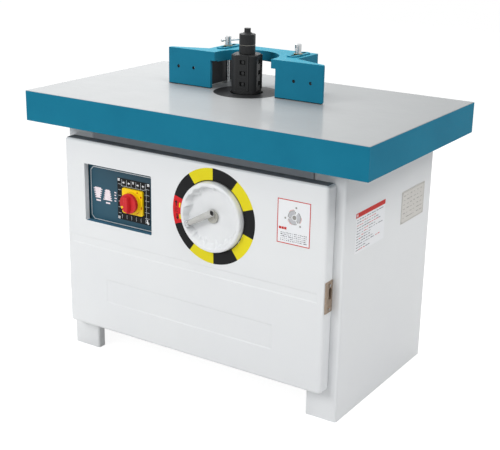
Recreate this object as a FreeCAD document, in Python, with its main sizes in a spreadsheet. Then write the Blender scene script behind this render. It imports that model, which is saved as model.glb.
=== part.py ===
# Spindle moulder: cast table on a sheet cabinet, a spindle that rises on a slide, fence and clamps.
# Millimetres, +Z up, front of the machine towards -Y, origin on the floor under the table's middle.
import FreeCAD, Part
import math
import os
import re
import Sketcher

V = FreeCAD.Vector
doc = FreeCAD.newDocument("SpindleMoulder")
sheet = doc.addObject("Spreadsheet::Sheet", "Sizes")

# Driving sizes, grouped by the piece that they belong to.
sizes = {
    "table": {
        "table_width": 1200, "table_depth": 708, "table_height": 856, "table_rim": 95, "table_plate": 24,
        "rim_wall": 18, "table_chamfer": 1.5, "landing_width": 46, "landing_margin": 4,
    },
    "table ring": {
        "ring_radius": 105, "ring_height": 10, "ring_bore": 52, "ring_fit": 0.3, "ring_ledge": 10,
        "ring_chamfer": 0.8,
    },
    "spindle place": {"spindle_x": -41, "spindle_y": 52.5},
    "cabinet": {
        "side_overhang": 101.5, "cabinet_depth": 582, "cabinet_offset": 16, "wall": 3, "bend_radius": 8,
        "foot_width": 103, "foot_lip": 28, "rear_flange": 40, "top_flange": 36, "floor_clear": 100,
        "rail_height": 72, "rail_flange": 38, "back_wall": 2, "tray_rim": 25, "tray_wall": 2,
        "foot_slack": 1,
    },
    "back panel": {
        "vent_length": 160, "vent_height": 8, "vent_pitch": 24, "vent_low": 220, "vent_apart": 300,
        "vent_count": 6,
        "gland_inset": 168.5, "gland_z": 190, "gland_bore": 7, "gland_thread": 11, "gland_thread_length": 14,
        "gland_collar": 15, "gland_collar_length": 10, "gland_cap": 14, "gland_cap_length": 18,
        "gland_fit": 0.2, "gland_nut_length": 5,
    },
    "bolts": {
        "bolt_radius": 5, "bolt_head": 8.5, "bolt_head_height": 7, "bolt_depth": 20, "bolt_fit": 0.15,
        "screw_radius": 2.5, "screw_head": 4.6, "screw_head_height": 2.6, "screw_length": 8,
        "screw_fit": 0.1,
        "bolt_spread_share": 0.36, "back_screw_edge_share": 0.08, "back_screw_count": 4,
        "rail_bolt_spread_share": 0.2,
    },
    "door": {
        "door_gap": 1.5, "door_depth": 41.5, "door_wall": 2, "reveal_left": 20.5, "reveal_right": 31,
        "door_low": 97, "head_gap": 43, "door_round": 10, "door_lip": 14,
        "window_inset": 79, "window_width": 263.5, "window_under": 115.5, "window_height": 185.5,
        "window_round": 4, "window_collar": 18, "wheel_hole": 110, "wheel_collar": 9,
        "field_depth": 1.1, "field_slope": 4,
        "channel_under": 355, "channel_height": 30, "channel_inset_left": 12, "channel_inset_right": 22,
        "field_left": -320, "field_right": 301, "field_low_share": 0.1594, "field_height_share": 0.1288,
    },
    "hinges": {
        "hinge_radius": 6.5, "hinge_half": 32, "hinge_gap": 0.5, "hinge_pin": 3.5, "hinge_fit": 0.06,
        "hinge_side": 9.5, "hinge_stand": 9, "hinge_web": 5, "hinge_from_end": 110, "hinge_pin_end": 1,
    },
    "edge pull": {
        "pull_height": 94, "pull_plate": 2.6, "pull_under": 367, "pull_bevel": 2.2,
        "pull_slot": 36, "pull_slot_width": 15, "pull_slot_rise": 9, "pull_cup": 16, "pull_cup_wall": 1.4,
        "pull_front": 3.5, "pull_hole_fit": 0.3, "pull_screw_inset": 11, "pull_shift": 5.5,
    },
    "door catch": {
        "catch_length": 60, "catch_air": 0.4,
    },
    "side plates": {
        "blank_front": 88, "blank_back": 250, "blank_under": 150, "blank_height": 102, "blank_thick": 1.2,
        "rivet_radius": 2.2, "rivet_height": 1.2, "rivet_inset": 6,
    },
    "control panel": {
        "panel_left_margin": 13, "panel_right_margin": 15.5, "panel_under": 105, "panel_height": 218,
        "panel_back": 23.5,
        "panel_thick": 2, "box_depth": 105, "box_wall": 1.5, "box_under": 121, "box_height": 188,
        "box_inset": 26,
        "legend_width": 126.5, "legend_height": 133, "legend_inset": 177.5, "legend_under": 214,
        "legend_thick": 1.6,
        "legend_screw_inset": 5.5, "legend_screw": 3, "legend_screw_height": 1.4,
        "switch_under": 215, "switch_side": 80, "switch_thick": 7, "switch_round": 6, "dial_radius": 33,
        "dial_height": 10.5,
        "knob_radius": 31, "knob_disc": 11, "knob_bar_width": 16, "knob_bar_height": 14, "knob_gap": 0.4,
        "knob_shaft": 5, "knob_fit": 0.08, "knob_shaft_length": 42, "switch_body_side": 62,
        "switch_body_depth": 58, "knob_bar_round": 4, "knob_bar_length": 48,
    },
    "handwheel": {
        "wheel_x": 91, "wheel_under": 198, "wheel_radius": 104, "wheel_front": 19, "wheel_rim_depth": 26,
        "wheel_rim_width": 8.5, "web_set": 20, "boss_radius": 18, "boss_set": 14, "boss_length": 34,
        "shaft_radius": 10, "shaft_fit": 0.05, "rim_round": 3.5, "hub_screw_head": 9,
        "hub_screw_height": 2.5, "hub_screw_radius": 4, "hub_screw_length": 22,
    },
    "handle": {
        "handle_angle": 29, "handle_pivot_x": -80, "handle_pivot_z": -32, "handle_rise": 19,
        "eye_radius": 6, "eye_width": 9, "stem_radius": 4, "stem_collar": 5.4, "stem_collar_thick": 1.4,
        "grip_start": 9.5, "grip_length": 91, "grip_small": 8.2, "grip_large": 10.6, "grip_fit": 0.12,
        "grip_recess": 14, "grip_recess_radius": 7, "grip_screw_head": 5.2, "grip_screw_height": 5,
        "grip_screw_radius": 2.5, "grip_screw_length": 16, "grip_end_play": 0.2,
        "ear_wall": 4, "ear_gap": 0.4, "ear_length": 14, "ear_base": 3,
        "handle_pin_radius": 2.5, "handle_pin_fit": 0.05, "handle_pin_head": 3.6,
        "handle_pin_head_height": 1.2,
    },
    "gears": {
        "gear_teeth": 18, "gear_radius": 27, "gear_face": 9, "gear_addendum": 2, "gear_dedendum": 2.9,
        "gear_backlash": 0.55, "gear_flank": 20, "gear_hub": 17, "gear_hub_length": 12, "gear_back": 3,
    },
    "lift": {
        "screw_core": 9, "screw_journal": 8, "lift_screw_fit": 0.05, "screw_top_clear": 1,
        "bearing_block": 25, "bearing_block_height": 34, "nut_radius": 19, "nut_flange": 25,
        "nut_flange_height": 6, "nut_clear": 0.3, "press_fit": 0.02,
        "bracket_plate": 20, "bracket_width": 84, "bracket_back": 18,
        "bracket_back_height": 115, "pillow_length": 24, "pillow_width": 56, "pillow_from_gear": 7,
        "pillow_over": 26, "gear_floor_gap": 0.5,
    },
    "front post": {
        "post_width": 60, "post_thick": 10, "bearing_radius": 27, "bearing_length": 16,
    },
    "slide": {
        "column_reach": 98, "column_width": 250, "column_plate": 26, "column_under": 261, "tail_root": 84,
        "tail_outer": 110, "tail_depth": 20, "slide_clear": 0.35, "column_flange_clear": 34.5,
        "column_flange_thick": 20,
        "tail_head_room": 16,
    },
    "carriage": {
        "housing_radius": 58, "housing_under": 195, "housing_below_top": 50, "foot_flange": 74,
        "foot_flange_thick": 16, "block_width": 152, "block_under": 121, "block_front": 20, "arm_under": 61,
        "arm_height": 34, "arm_width": 52, "arm_over": 30, "housing_bore": 32, "bearing_outer": 36,
        "bearing_width": 17, "bearing_set": 8, "cap_radius": 52, "cap_thick": 8, "cap_bore_gap": 1,
    },
    "spindle": {
        "journal_radius": 17.5, "tail_radius": 14, "foot_under": 337, "nose_radius": 25,
        "flange_radius": 47,
        "flange_low": 0.6, "flange_high": 9, "arbor_radius": 15, "arbor_short": 2, "bolt_bore": 8,
        "bolt_bore_depth": 40,
        "spindle_fit": 0.03, "bearing_run": 0.05,
    },
    "cutter": {
        "cutter_radius": 47, "cutter_height": 112, "cutter_chamfer": 3, "flat_distance": 41,
        "notch_width": 19, "notch_height": 14,
        "notch_depth": 8, "notch_pitch": 34, "knife_count": 4, "knife_thick": 3, "knife_depth": 15,
        "knife_out": 1.5,
        "knife_slot_fit": 0.1, "wedge_screw": 5, "wedge_screw_height": 4, "knife_side": 17,
        "knife_short": 4,
        "cutter_turn": 12.8,
    },
    "collars": {
        "collar_radius": 25.6, "collar_low_height": 28, "collar_high_height": 34, "collar_chamfer": 1.5,
        "draw_cone": 12.5, "draw_cone_height": 4, "draw_head": 11.4, "draw_head_height": 13, "draw_gap": 0.5,
        "draw_shank_short": 6,
    },
    "drive": {
        "motor_reach_share": 0.601685, "motor_plate": 16, "plate_half_motor": 94, "plate_half_spindle": 72,
        "plate_over": 98, "plate_step": 100,
        "motor_core": 76, "motor_height": 150, "motor_flange": 92, "motor_flange_thick": 14,
        "fin_count": 28, "fin_thick": 4, "fin_depth": 14, "fin_short": 14, "cowl_radius": 92,
        "cowl_height": 52,
        "cowl_wall": 2, "cowl_lip": 26, "cowl_hole": 6, "cowl_hole_count": 10, "cowl_hole_ring": 55,
        "terminal_width": 90, "terminal_height": 80, "terminal_depth": 44,
        "motor_shaft": 12, "motor_shaft_in": 46, "motor_shaft_clear": 0.05, "motor_hole": 40,
        "motor_shaft_end": 4, "tail_gap": 3,
        "pulley_under": 221, "pulley_step": 22, "pulley_steps": 4, "groove_depth": 9, "groove_top": 13,
        "groove_floor": 7, "spindle_pulley_small": 44, "pulley_grow": 9, "belt_clear": 0.35, "belt_step": 1,
        "belt_proud": 1, "belt_floor": 0.8,
    },
    "fence": {
        "fence_front": 27.5, "fence_end": 287, "fence_inner": 121, "fence_lip": 105, "fence_height": 117.5,
        "fence_top": 28, "fence_plate": 11, "fence_arm": 165, "fence_arm_wall": 17, "fence_notch": 57,
        "fence_back": 158, "fence_hole": 4.5, "fence_hole_a": 187, "fence_hole_b": 246,
        "fence_hole_height": 59, "relief_start": 155, "relief_end": 251, "relief_height": 2.5,
        "relief_depth": 5, "fence_lift": 0.3, "fence_round": 4, "slot_width": 13, "slot_front": 50,
        "slot_length": 84, "pad_margin": 12,
        "pad_height": 4, "shield_thick": 2, "shield_back": 4, "shield_lift": 1,
        "arch_forward": 8, "arch_rib": 8, "arch_rib_drop": 4, "fence_corner": 5,
    },
    "clamps": {
        "clamp_offset": 132, "clamp_behind": 88.5, "clamp_rod": 5.5, "clamp_rod_in": 20, "clamp_fit": 0.06,
        "washer_radius": 14, "washer_thick": 2.4, "washer_gap": 0.3, "clamp_head": 10.5,
        "clamp_head_height": 29,
        "clamp_head_chamfer": 1.5, "bar_radius": 2.8, "bar_length": 76, "bar_knob": 4.4,
        "bar_knob_length": 8,
        "bar_fit": 0.08, "bar_height_share": 0.55, "bar_turn_left": 62, "bar_turn_right": 110,
        "bar_shift_left": 13, "bar_shift_right": 0,
    },
    "cutting": {"overrun": 5, "same_place": 0.0001},
}

# Places worked out from the driving sizes.
places = {
    "table_low": "table_height - table_rim",
    "plate_low": "table_height - table_plate",
    "cabinet_width": "table_width - side_overhang * 2",
    "cab_side": "cabinet_width / 2",
    "cab_front": "cabinet_offset - cabinet_depth / 2",
    "cab_back": "cabinet_offset + cabinet_depth / 2",
    "landing_side": "cab_side + landing_margin",
    "landing_front": "cab_front - landing_margin",
    "landing_back": "cab_back + landing_margin",
    "door_back": "cab_front - door_gap",
    "door_front": "door_back - door_depth",
    "door_left": "reveal_left - cab_side",
    "door_right": "cab_side - reveal_right",
    "door_top": "table_low - head_gap",
    "window_left": "door_left + window_inset",
    "window_right": "window_left + window_width",
    "window_high": "table_low - window_under",
    "window_low": "window_high - window_height",
    "channel_high": "table_low - channel_under",
    "channel_low": "channel_high - channel_height",
    "field_low": "door_low + (door_top - door_low) * field_low_share",
    "field_high": "field_low + (door_top - door_low) * field_height_share",
    "pull_z": "table_low - pull_under",
    "blank_high": "table_low - blank_under",
    "blank_low": "blank_high - blank_height",
    "hinge_x": "door_left - hinge_side",
    "hinge_y": "cab_front - hinge_stand",
    "panel_y": "door_front + panel_back",
    "panel_left": "window_left - panel_left_margin",
    "panel_right": "window_right + panel_right_margin",
    "panel_high": "table_low - panel_under",
    "panel_low": "panel_high - panel_height",
    "box_high": "table_low - box_under",
    "box_low": "box_high - box_height",
    "box_right": "panel_right - box_inset",
    "legend_x": "window_left + legend_inset",
    "legend_z": "table_low - legend_under",
    "switch_x": "legend_x",
    "switch_z": "table_low - switch_under",
    "box_left": "foot_width - cab_side",
    "legend_y": "panel_y - legend_thick",
    "switch_y": "legend_y - switch_thick",
    "knob_y": "switch_y - dial_height - knob_gap",
    "back_inner": "cab_back - wall - back_wall",
    "gland_x": "cab_side - gland_inset",
    "wheel_z": "table_low - wheel_under",
    "wheel_front_y": "door_front - wheel_front",
    "web_y": "wheel_front_y + web_set",
    "handle_y": "web_y - handle_rise",
    "boss_y": "wheel_front_y + boss_set",
    "screw_y": "spindle_y",
    "bracket_top": "wheel_z - gear_radius - gear_back - gear_floor_gap",
    "bracket_low": "bracket_top - bracket_plate",
    "pillow_back": "screw_y - gear_radius - gear_back - gear_hub_length - pillow_from_gear",
    "column_y": "spindle_y + column_reach",
    "column_low": "table_low - column_under",
    "housing_low": "table_low - housing_under",
    "housing_top": "table_height - housing_below_top",
    "block_low": "table_low - block_under",
    "arm_low": "table_low - arm_under",
    "spindle_foot": "table_low - foot_under",
    "motor_x": "spindle_x - (spindle_x + landing_side - landing_width) * motor_reach_share",
    "plate_under": "housing_low - motor_plate",
    "cutter_low": "table_height + flange_high",
    "cutter_high": "cutter_low + cutter_height",
    "collar_mid": "cutter_high + collar_low_height",
    "collar_top": "collar_mid + collar_high_height",
    "fence_low": "table_height + fence_lift",
    "fence_y": "spindle_y - fence_front",
    "fence_high": "fence_low + fence_height",
    "arch_y": "spindle_y - arch_forward",
    "pad_top": "fence_high + pad_height",
    "clamp_y": "spindle_y + clamp_behind",
    "washer_low": "pad_top + washer_gap",
    "head_low": "washer_low + washer_thick",
    "bar_z": "head_low + clamp_head_height * bar_height_share",
    "pulley_height": "pulley_step * pulley_steps",
    "pulley_top": "table_low - pulley_under",
    "pulley_low": "pulley_top - pulley_height",
}

row = 0
for family in sizes.values():
    for alias, number in family.items():
        row += 1
        sheet.set("A%d" % row, alias)
        sheet.set("B%d" % row, str(number))
        sheet.setAlias("B%d" % row, alias)
doc.recompute()
aliases = {alias for family in sizes.values() for alias in family}


def formula(text):
    """Write a size expression with every named place opened up into sheet cells."""
    def open_name(found):
        name = found.group(0)
        if name in places:
            return "(" + formula(places[name]) + ")"
        return "Sizes." + name if name in aliases else name
    return re.sub(r"[A-Za-z_]\w*", open_name, text)


def size(text):
    return float(sheet.evalExpression(formula(text)))


def bind(thing, prop, text):
    thing.setExpression(prop, formula(text))


def place(thing, x="0", y="0", z="0", turn=None):
    if turn:
        thing.Placement = FreeCAD.Placement(V(), FreeCAD.Rotation(turn[0], turn[1]))
    for axis, text in zip("xyz", (x, y, z)):
        bind(thing, "Placement.Base." + axis, text)
    return thing


ALONG = {"X": (V(0, 1, 0), 90), "Y": (V(1, 0, 0), -90), "Z": None}


def block(low, high):
    """A box between two corners, each given as three expressions."""
    made = doc.addObject("Part::Box", "Block")
    for prop, a, b in zip(("Length", "Width", "Height"), low, high):
        bind(made, prop, "(%s) - (%s)" % (b, a))
    return place(made, *low)


def rod(at, radius, length, along="Z"):
    """A cylinder that starts at a point and runs in the positive direction of an axis."""
    made = doc.addObject("Part::Cylinder", "Rod")
    bind(made, "Radius", radius)
    bind(made, "Height", length)
    return place(made, *at, turn=ALONG[along])


def fuse(*things):
    made = doc.addObject("Part::MultiFuse", "Joined")
    made.Shapes = list(things)
    return made


def cut(base, *tools):
    made = doc.addObject("Part::Cut", "Cut")
    made.Base = base
    made.Tool = tools[0] if len(tools) == 1 else fuse(*tools)
    return made


def common(base, tool):
    made = doc.addObject("Part::Common", "Shared")
    made.Base = base
    made.Tool = tool
    return made


def group(*things):
    """Separate solids kept together in one node."""
    made = doc.addObject("Part::Compound", "Group")
    made.Links = list(things)
    return made


def soften(base, radius, pick, kind="Part::Fillet"):
    """Round or bevel the edges that pick chooses."""
    doc.recompute()
    amount = size(radius)
    made = doc.addObject(kind, "Softened")
    made.Base = base
    made.Edges = [(n, amount, amount) for n, edge in enumerate(base.Shape.Edges, 1) if pick(edge)]
    return made


def near(a, b):
    return abs(a - b) < size("same_place")


def flat_at(edge, axis, value):
    """Whether a whole edge lies at one height on an axis."""
    return all(near(getattr(v.Point, axis), value) for v in edge.Vertexes)


def runs_along(edge, axis):
    return near(abs(getattr(edge.tangentAt(edge.FirstParameter), axis)), 1.0)


def new_body(plane):
    body = doc.addObject("PartDesign::Body", "Body")
    sketch = body.newObject("Sketcher::SketchObject", "Outline")
    origin = [f for f in body.Origin.OriginFeatures if f.Role == plane][0]
    sketch.AttachmentSupport = [(origin, "")]
    sketch.MapMode = "FlatFace"
    return body, sketch


def draw(sketch, points):
    """A closed outline of straight lines whose corners follow expressions."""
    corners = [V(size(x), size(y), 0) for x, y in points]
    first = sketch.GeometryCount
    count = len(points)
    for n in range(count):
        sketch.addGeometry(Part.LineSegment(corners[n], corners[(n + 1) % count]), False)
    for n in range(count):
        sketch.addConstraint(Sketcher.Constraint("Coincident", first + n, 2, first + (n + 1) % count, 1))
    for n, texts in enumerate(points):
        for kind, text, value in zip(("DistanceX", "DistanceY"), texts, corners[n]):
            index = sketch.addConstraint(Sketcher.Constraint(kind, -1, 1, first + n, 1, value))
            sketch.setExpression("Constraints[%d]" % index, formula(text))


def prism(points, low, height):
    """A plan outline raised along Z."""
    body, sketch = new_body("XY_Plane")
    draw(sketch, points)
    pad = body.newObject("PartDesign::Pad", "Raised")
    pad.Profile = sketch
    bind(pad, "Length", height)
    return place(body, z=low)


def turned(profile, along="Z", at=("0", "0", "0"), turn=None):
    """A turned piece: pairs of radius and distance along its axis."""
    body, sketch = new_body("XZ_Plane" if along == "Z" else "XY_Plane")
    draw(sketch, [(b, a) for a, b in profile] if along == "X" else profile)
    spin = body.newObject("PartDesign::Revolution", "Turned")
    spin.Profile = sketch
    spin.ReferenceAxis = (sketch, ["H_Axis" if along == "X" else "V_Axis"])
    spin.Angle = 360
    return place(body, *at, turn=turn)


def ring(inner, outer, low, high):
    """Turned profile of a plain ring."""
    return [(inner, low), (outer, low), (outer, high), (inner, high)]


nodes = []


def node(name, thing):
    thing.Label = name
    nodes.append(thing)
    return thing


def signed(sign, text):
    return "-(%s)" % text if sign < 0 else "(%s)" % text


def hexagon(at, radius, height, turn=None):
    made = doc.addObject("Part::Prism", "Hexagon")
    made.Polygon = 6
    bind(made, "Circumradius", radius)
    bind(made, "Height", height)
    return place(made, *at, turn=turn)


def oval(middle, length, width, depth, along, run="Z"):
    """A slot-shaped block: length runs along run, depth along an axis from the middle point."""
    spots = []
    parts = []
    for sign in (-1, 1):
        shift = signed(sign, "((%s) - (%s)) / 2" % (length, width))
        spot = ["%s + %s" % (text, shift) if axis == run else text for axis, text in zip("XYZ", middle)]
        spots.append(spot)
        parts.append(rod(spot, "(%s) / 2" % width, depth, along))
    low, high = list(spots[0]), list(spots[1])
    for n, axis in enumerate("XYZ"):
        if axis == along:
            high[n] = "%s + %s" % (middle[n], depth)
        elif axis != run:
            low[n] = "%s - (%s) / 2" % (middle[n], width)
            high[n] = "%s + (%s) / 2" % (middle[n], width)
    return fuse(block(low, high), *parts)


def pan_screw(at, along, turn=None):
    """A pan-head screw whose head stands out in the direction of its axis."""
    profile = [("0", "-screw_length"), ("screw_radius", "-screw_length"), ("screw_radius", "0"),
               ("screw_head", "0"), ("screw_head", "screw_head_height"), ("0", "screw_head_height")]
    return turned(profile, along, at, turn)


# Places of the bolts that hold the table down, shared by the bolts and their holes.
bolt_places = []
for side in (-1, 1):
    for step in (-1, 0, 1):
        bolt_places.append((signed(side, "cab_side - wall - top_flange / 2"),
                            "cabinet_offset + cabinet_depth * bolt_spread_share * %d" % step))
    bolt_places.append((signed(side, "cabinet_width * rail_bolt_spread_share"),
                        "cab_front + wall + rail_flange / 2"))
    bolt_places.append((signed(side, "cabinet_width * rail_bolt_spread_share"),
                        "back_inner - top_flange / 2"))


def bolt_holes(low, height):
    return [rod((x, y, low), "bolt_radius + bolt_fit", height) for x, y in bolt_places]


# Places of the screws that hold the back panel.
back_screw_places = []
for side in (-1, 1):
    for step in range(int(size("back_screw_count"))):
        along = "(1 - back_screw_edge_share * 2) * %d / (back_screw_count - 1)" % step
        share = "(back_screw_edge_share + %s)" % along
        back_screw_places.append((signed(side, "cab_side - rear_flange / 2"),
                                  "floor_clear + (table_low - floor_clear) * " + share))


def back_screw_holes():
    return [rod((x, "back_inner - overrun", z), "screw_radius + screw_fit",
                "wall + back_wall + overrun * 2", "Y")
            for x, z in back_screw_places]


clamp_places = {"left": "spindle_x - clamp_offset", "right": "spindle_x + clamp_offset"}


def make_table():
    slab = block(("-table_width / 2", "-table_depth / 2", "table_low"),
                 ("table_width / 2", "table_depth / 2", "table_height"))
    slab = soften(slab, "table_chamfer", lambda e: flat_at(e, "z", size("table_height")), "Part::Chamfer")
    hollow = block(("rim_wall - table_width / 2", "rim_wall - table_depth / 2", "table_low - overrun"),
                   ("table_width / 2 - rim_wall", "table_depth / 2 - rim_wall", "plate_low"))
    landing = cut(block(("-landing_side", "landing_front", "table_low"),
                        ("landing_side", "landing_back", "plate_low")),
                  block(("landing_width - landing_side", "landing_front + landing_width",
                         "table_low - overrun"),
                        ("landing_side - landing_width", "landing_back - landing_width",
                         "plate_low + overrun")))
    casting = fuse(cut(slab, hollow), landing)
    middle = ("spindle_x", "spindle_y")
    seat = rod((*middle, "table_height - ring_height"), "ring_radius + ring_fit", "ring_height + overrun")
    throat = rod((*middle, "plate_low - overrun"), "ring_radius - ring_ledge", "table_plate")
    threads = [rod((x, "clamp_y", "plate_low - overrun"), "clamp_rod + clamp_fit",
                   "table_plate + overrun * 2")
               for x in clamp_places.values()]
    node("table", cut(casting, seat, throat, *threads,
                      *bolt_holes("table_low - overrun", "bolt_depth + overrun * 2")))
    profile = [("ring_bore", "0"), ("ring_radius", "0"), ("ring_radius", "ring_height - ring_chamfer"),
               ("ring_radius - ring_chamfer", "ring_height"), ("ring_bore", "ring_height")]
    node("table_ring", turned(profile, "Z", (*middle, "table_height - ring_height")))
    bolts = []
    for x, y in bolt_places:
        head = hexagon((x, y, "table_low - wall - bolt_head_height"), "bolt_head", "bolt_head_height")
        bolts.append(fuse(head, rod((x, y, "table_low - wall"), "bolt_radius", "wall + bolt_depth")))
    node("table_bolts", group(*bolts))


def make_side_panel(name, side):
    inner, outer = "cab_side - foot_width", "cab_side"
    corners = [(inner, "cab_front + foot_lip"), (inner, "cab_front"), (outer, "cab_front"),
               (outer, "cab_back"),
               ("cab_side - rear_flange", "cab_back"), ("cab_side - rear_flange", "cab_back - wall"),
               ("cab_side - wall", "cab_back - wall"), ("cab_side - wall", "cab_front + wall"),
               (inner + " + wall", "cab_front + wall"), (inner + " + wall", "cab_front + foot_lip")]
    panel = prism([(signed(side, x), y) for x, y in corners], "0", "table_low")
    for radius, bends in (("bend_radius", corners[1:4]), ("bend_radius - wall", corners[6:9])):
        spots = [(size(signed(side, x)), size(y)) for x, y in bends]
        panel = soften(panel, radius, lambda e: runs_along(e, "z") and any(
            flat_at(e, "x", x) and flat_at(e, "y", y) for x, y in spots))
    ends = sorted((signed(side, "cab_side - wall - top_flange"), signed(side, "cab_side - wall")), key=size)
    flange = block((ends[0], "cab_front + wall", "table_low - wall"), (ends[1], "back_inner", "table_low"))
    holes = bolt_holes("table_low - wall - overrun", "wall + overrun * 2")
    node(name, cut(fuse(panel, flange), *holes, *back_screw_holes()))


def make_cabinet():
    make_side_panel("left_side_panel", -1)
    make_side_panel("right_side_panel", 1)
    clear = "cab_side - foot_width"
    rail = fuse(block(("-(%s)" % clear, "cab_front", "table_low - rail_height"),
                      (clear, "cab_front + wall", "table_low")),
                block(("-(%s)" % clear, "cab_front", "table_low - wall"),
                      (clear, "cab_front + wall + rail_flange", "table_low")))
    node("front_rail", cut(rail, *bolt_holes("table_low - wall - overrun", "wall + overrun * 2")))
    back = fuse(block(("bend_radius - cab_side", "back_inner", "floor_clear"),
                      ("cab_side - bend_radius", "cab_back - wall", "table_low")),
                block(("wall + top_flange - cab_side", "back_inner - top_flange", "table_low - wall"),
                      ("cab_side - wall - top_flange", "cab_back - wall", "table_low")))
    vents = []
    for side in (-1, 1):
        for step in range(int(size("vent_count"))):
            middle = (signed(side, "vent_apart / 2"), "back_inner - overrun",
                      "vent_low + vent_pitch * %d" % step)
            vents.append(oval(middle, "vent_length", "vent_height", "back_wall + overrun * 2", "Y", "X"))
    entry = rod(("gland_x", "back_inner - overrun", "gland_z"), "gland_thread + gland_fit",
                "back_wall + overrun * 2", "Y")
    node("back_panel", cut(back, *vents, entry, *back_screw_holes(),
                           *bolt_holes("table_low - wall - overrun", "wall + overrun * 2")))
    front = "cab_front + wall + post_thick"
    tray = cut(block(("wall - cab_side", front, "floor_clear"),
                     ("cab_side - wall", "back_inner", "floor_clear + tray_rim")),
               block(("wall + tray_wall - cab_side", front + " + tray_wall", "floor_clear + tray_wall"),
                     ("cab_side - wall - tray_wall", "back_inner - tray_wall",
                      "floor_clear + tray_rim + overrun")))
    notches = []
    for side in (-1, 1):
        ends = sorted((signed(side, "cab_side - foot_width - foot_slack"), signed(side, "cab_side")),
                      key=size)
        notches.append(block((ends[0], front + " - overrun", "floor_clear - overrun"),
                             (ends[1], "cab_front + foot_lip + foot_slack",
                              "floor_clear + tray_rim + overrun")))
        ends = sorted((signed(side, "cab_side - bend_radius"), signed(side, "cab_side")), key=size)
        notches.append(block((ends[0], "back_inner - bend_radius", "floor_clear - overrun"),
                             (ends[1], "back_inner + overrun", "floor_clear + tray_rim + overrun")))
    node("floor_tray", cut(tray, *notches))


def make_gland():
    out = "cab_back - wall"
    body = [("gland_bore", "-back_wall - gland_thread_length"),
            ("gland_thread", "-back_wall - gland_thread_length"),
            ("gland_thread", "0"), ("gland_collar", "0"), ("gland_collar", "gland_collar_length"),
            ("gland_cap", "gland_collar_length"), ("gland_cap",
                                                   "gland_collar_length + gland_cap_length / 2"),
            ("gland_bore + gland_fit * 2", "gland_collar_length + gland_cap_length"),
            ("gland_bore", "gland_collar_length + gland_cap_length")]
    nut = rod(("gland_x", "back_inner - gland_nut_length", "gland_z"), "gland_collar", "gland_nut_length",
              "Y")
    hole = rod(("gland_x", "back_inner - gland_nut_length - overrun", "gland_z"),
               "gland_thread + gland_fit / 2",
               "gland_nut_length + overrun * 2", "Y")
    node("cable_gland", group(turned(body, "Y", ("gland_x", out, "gland_z")), cut(nut, hole)))


def make_side_plate():
    out = "cab_side"
    pieces = [block((out, "blank_front", "blank_low"),
                    (out + " + blank_thick", "blank_back", "blank_high"))]
    for y in ("blank_front + rivet_inset", "blank_back - rivet_inset"):
        for z in ("blank_low + rivet_inset", "blank_high - rivet_inset"):
            pieces.append(rod((out + " + blank_thick", y, z), "rivet_radius", "rivet_height", "X"))
    node("blank_plate", fuse(*pieces))


def frustum(left, right, low, high):
    """A shallow pressed field in the door face, sloping at its sides."""
    made = doc.addObject("Part::Wedge", "Field")
    ends = {"Xmin": left, "Xmax": right, "Zmin": low, "Zmax": high, "X2min": left + " + field_slope",
            "X2max": right + " - field_slope", "Z2min": low + " + field_slope",
            "Z2max": high + " - field_slope",
            "Ymin": "door_front", "Ymax": "door_front + field_depth"}
    for prop, text in ends.items():
        bind(made, prop, text)
    return made


def pull_oval(grow, start, depth):
    middle = (start, "(door_front + pull_front + door_back) / 2 + pull_shift", "pull_z + pull_slot_rise")
    return oval(middle, "pull_slot + (%s) * 2" % grow, "pull_slot_width + (%s) * 2" % grow, depth, "X")


pull_screw_heights = ["pull_z %s (pull_height / 2 - pull_screw_inset)" % sign for sign in "+-"]
pull_screw_y = "(door_front + pull_front + door_back) / 2 + pull_shift"


def pull_screw_holes():
    return [rod(("door_right - door_wall - overrun", pull_screw_y, z), "screw_radius + screw_fit",
                "door_wall + pull_plate + overrun * 2", "X") for z in pull_screw_heights]


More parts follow.
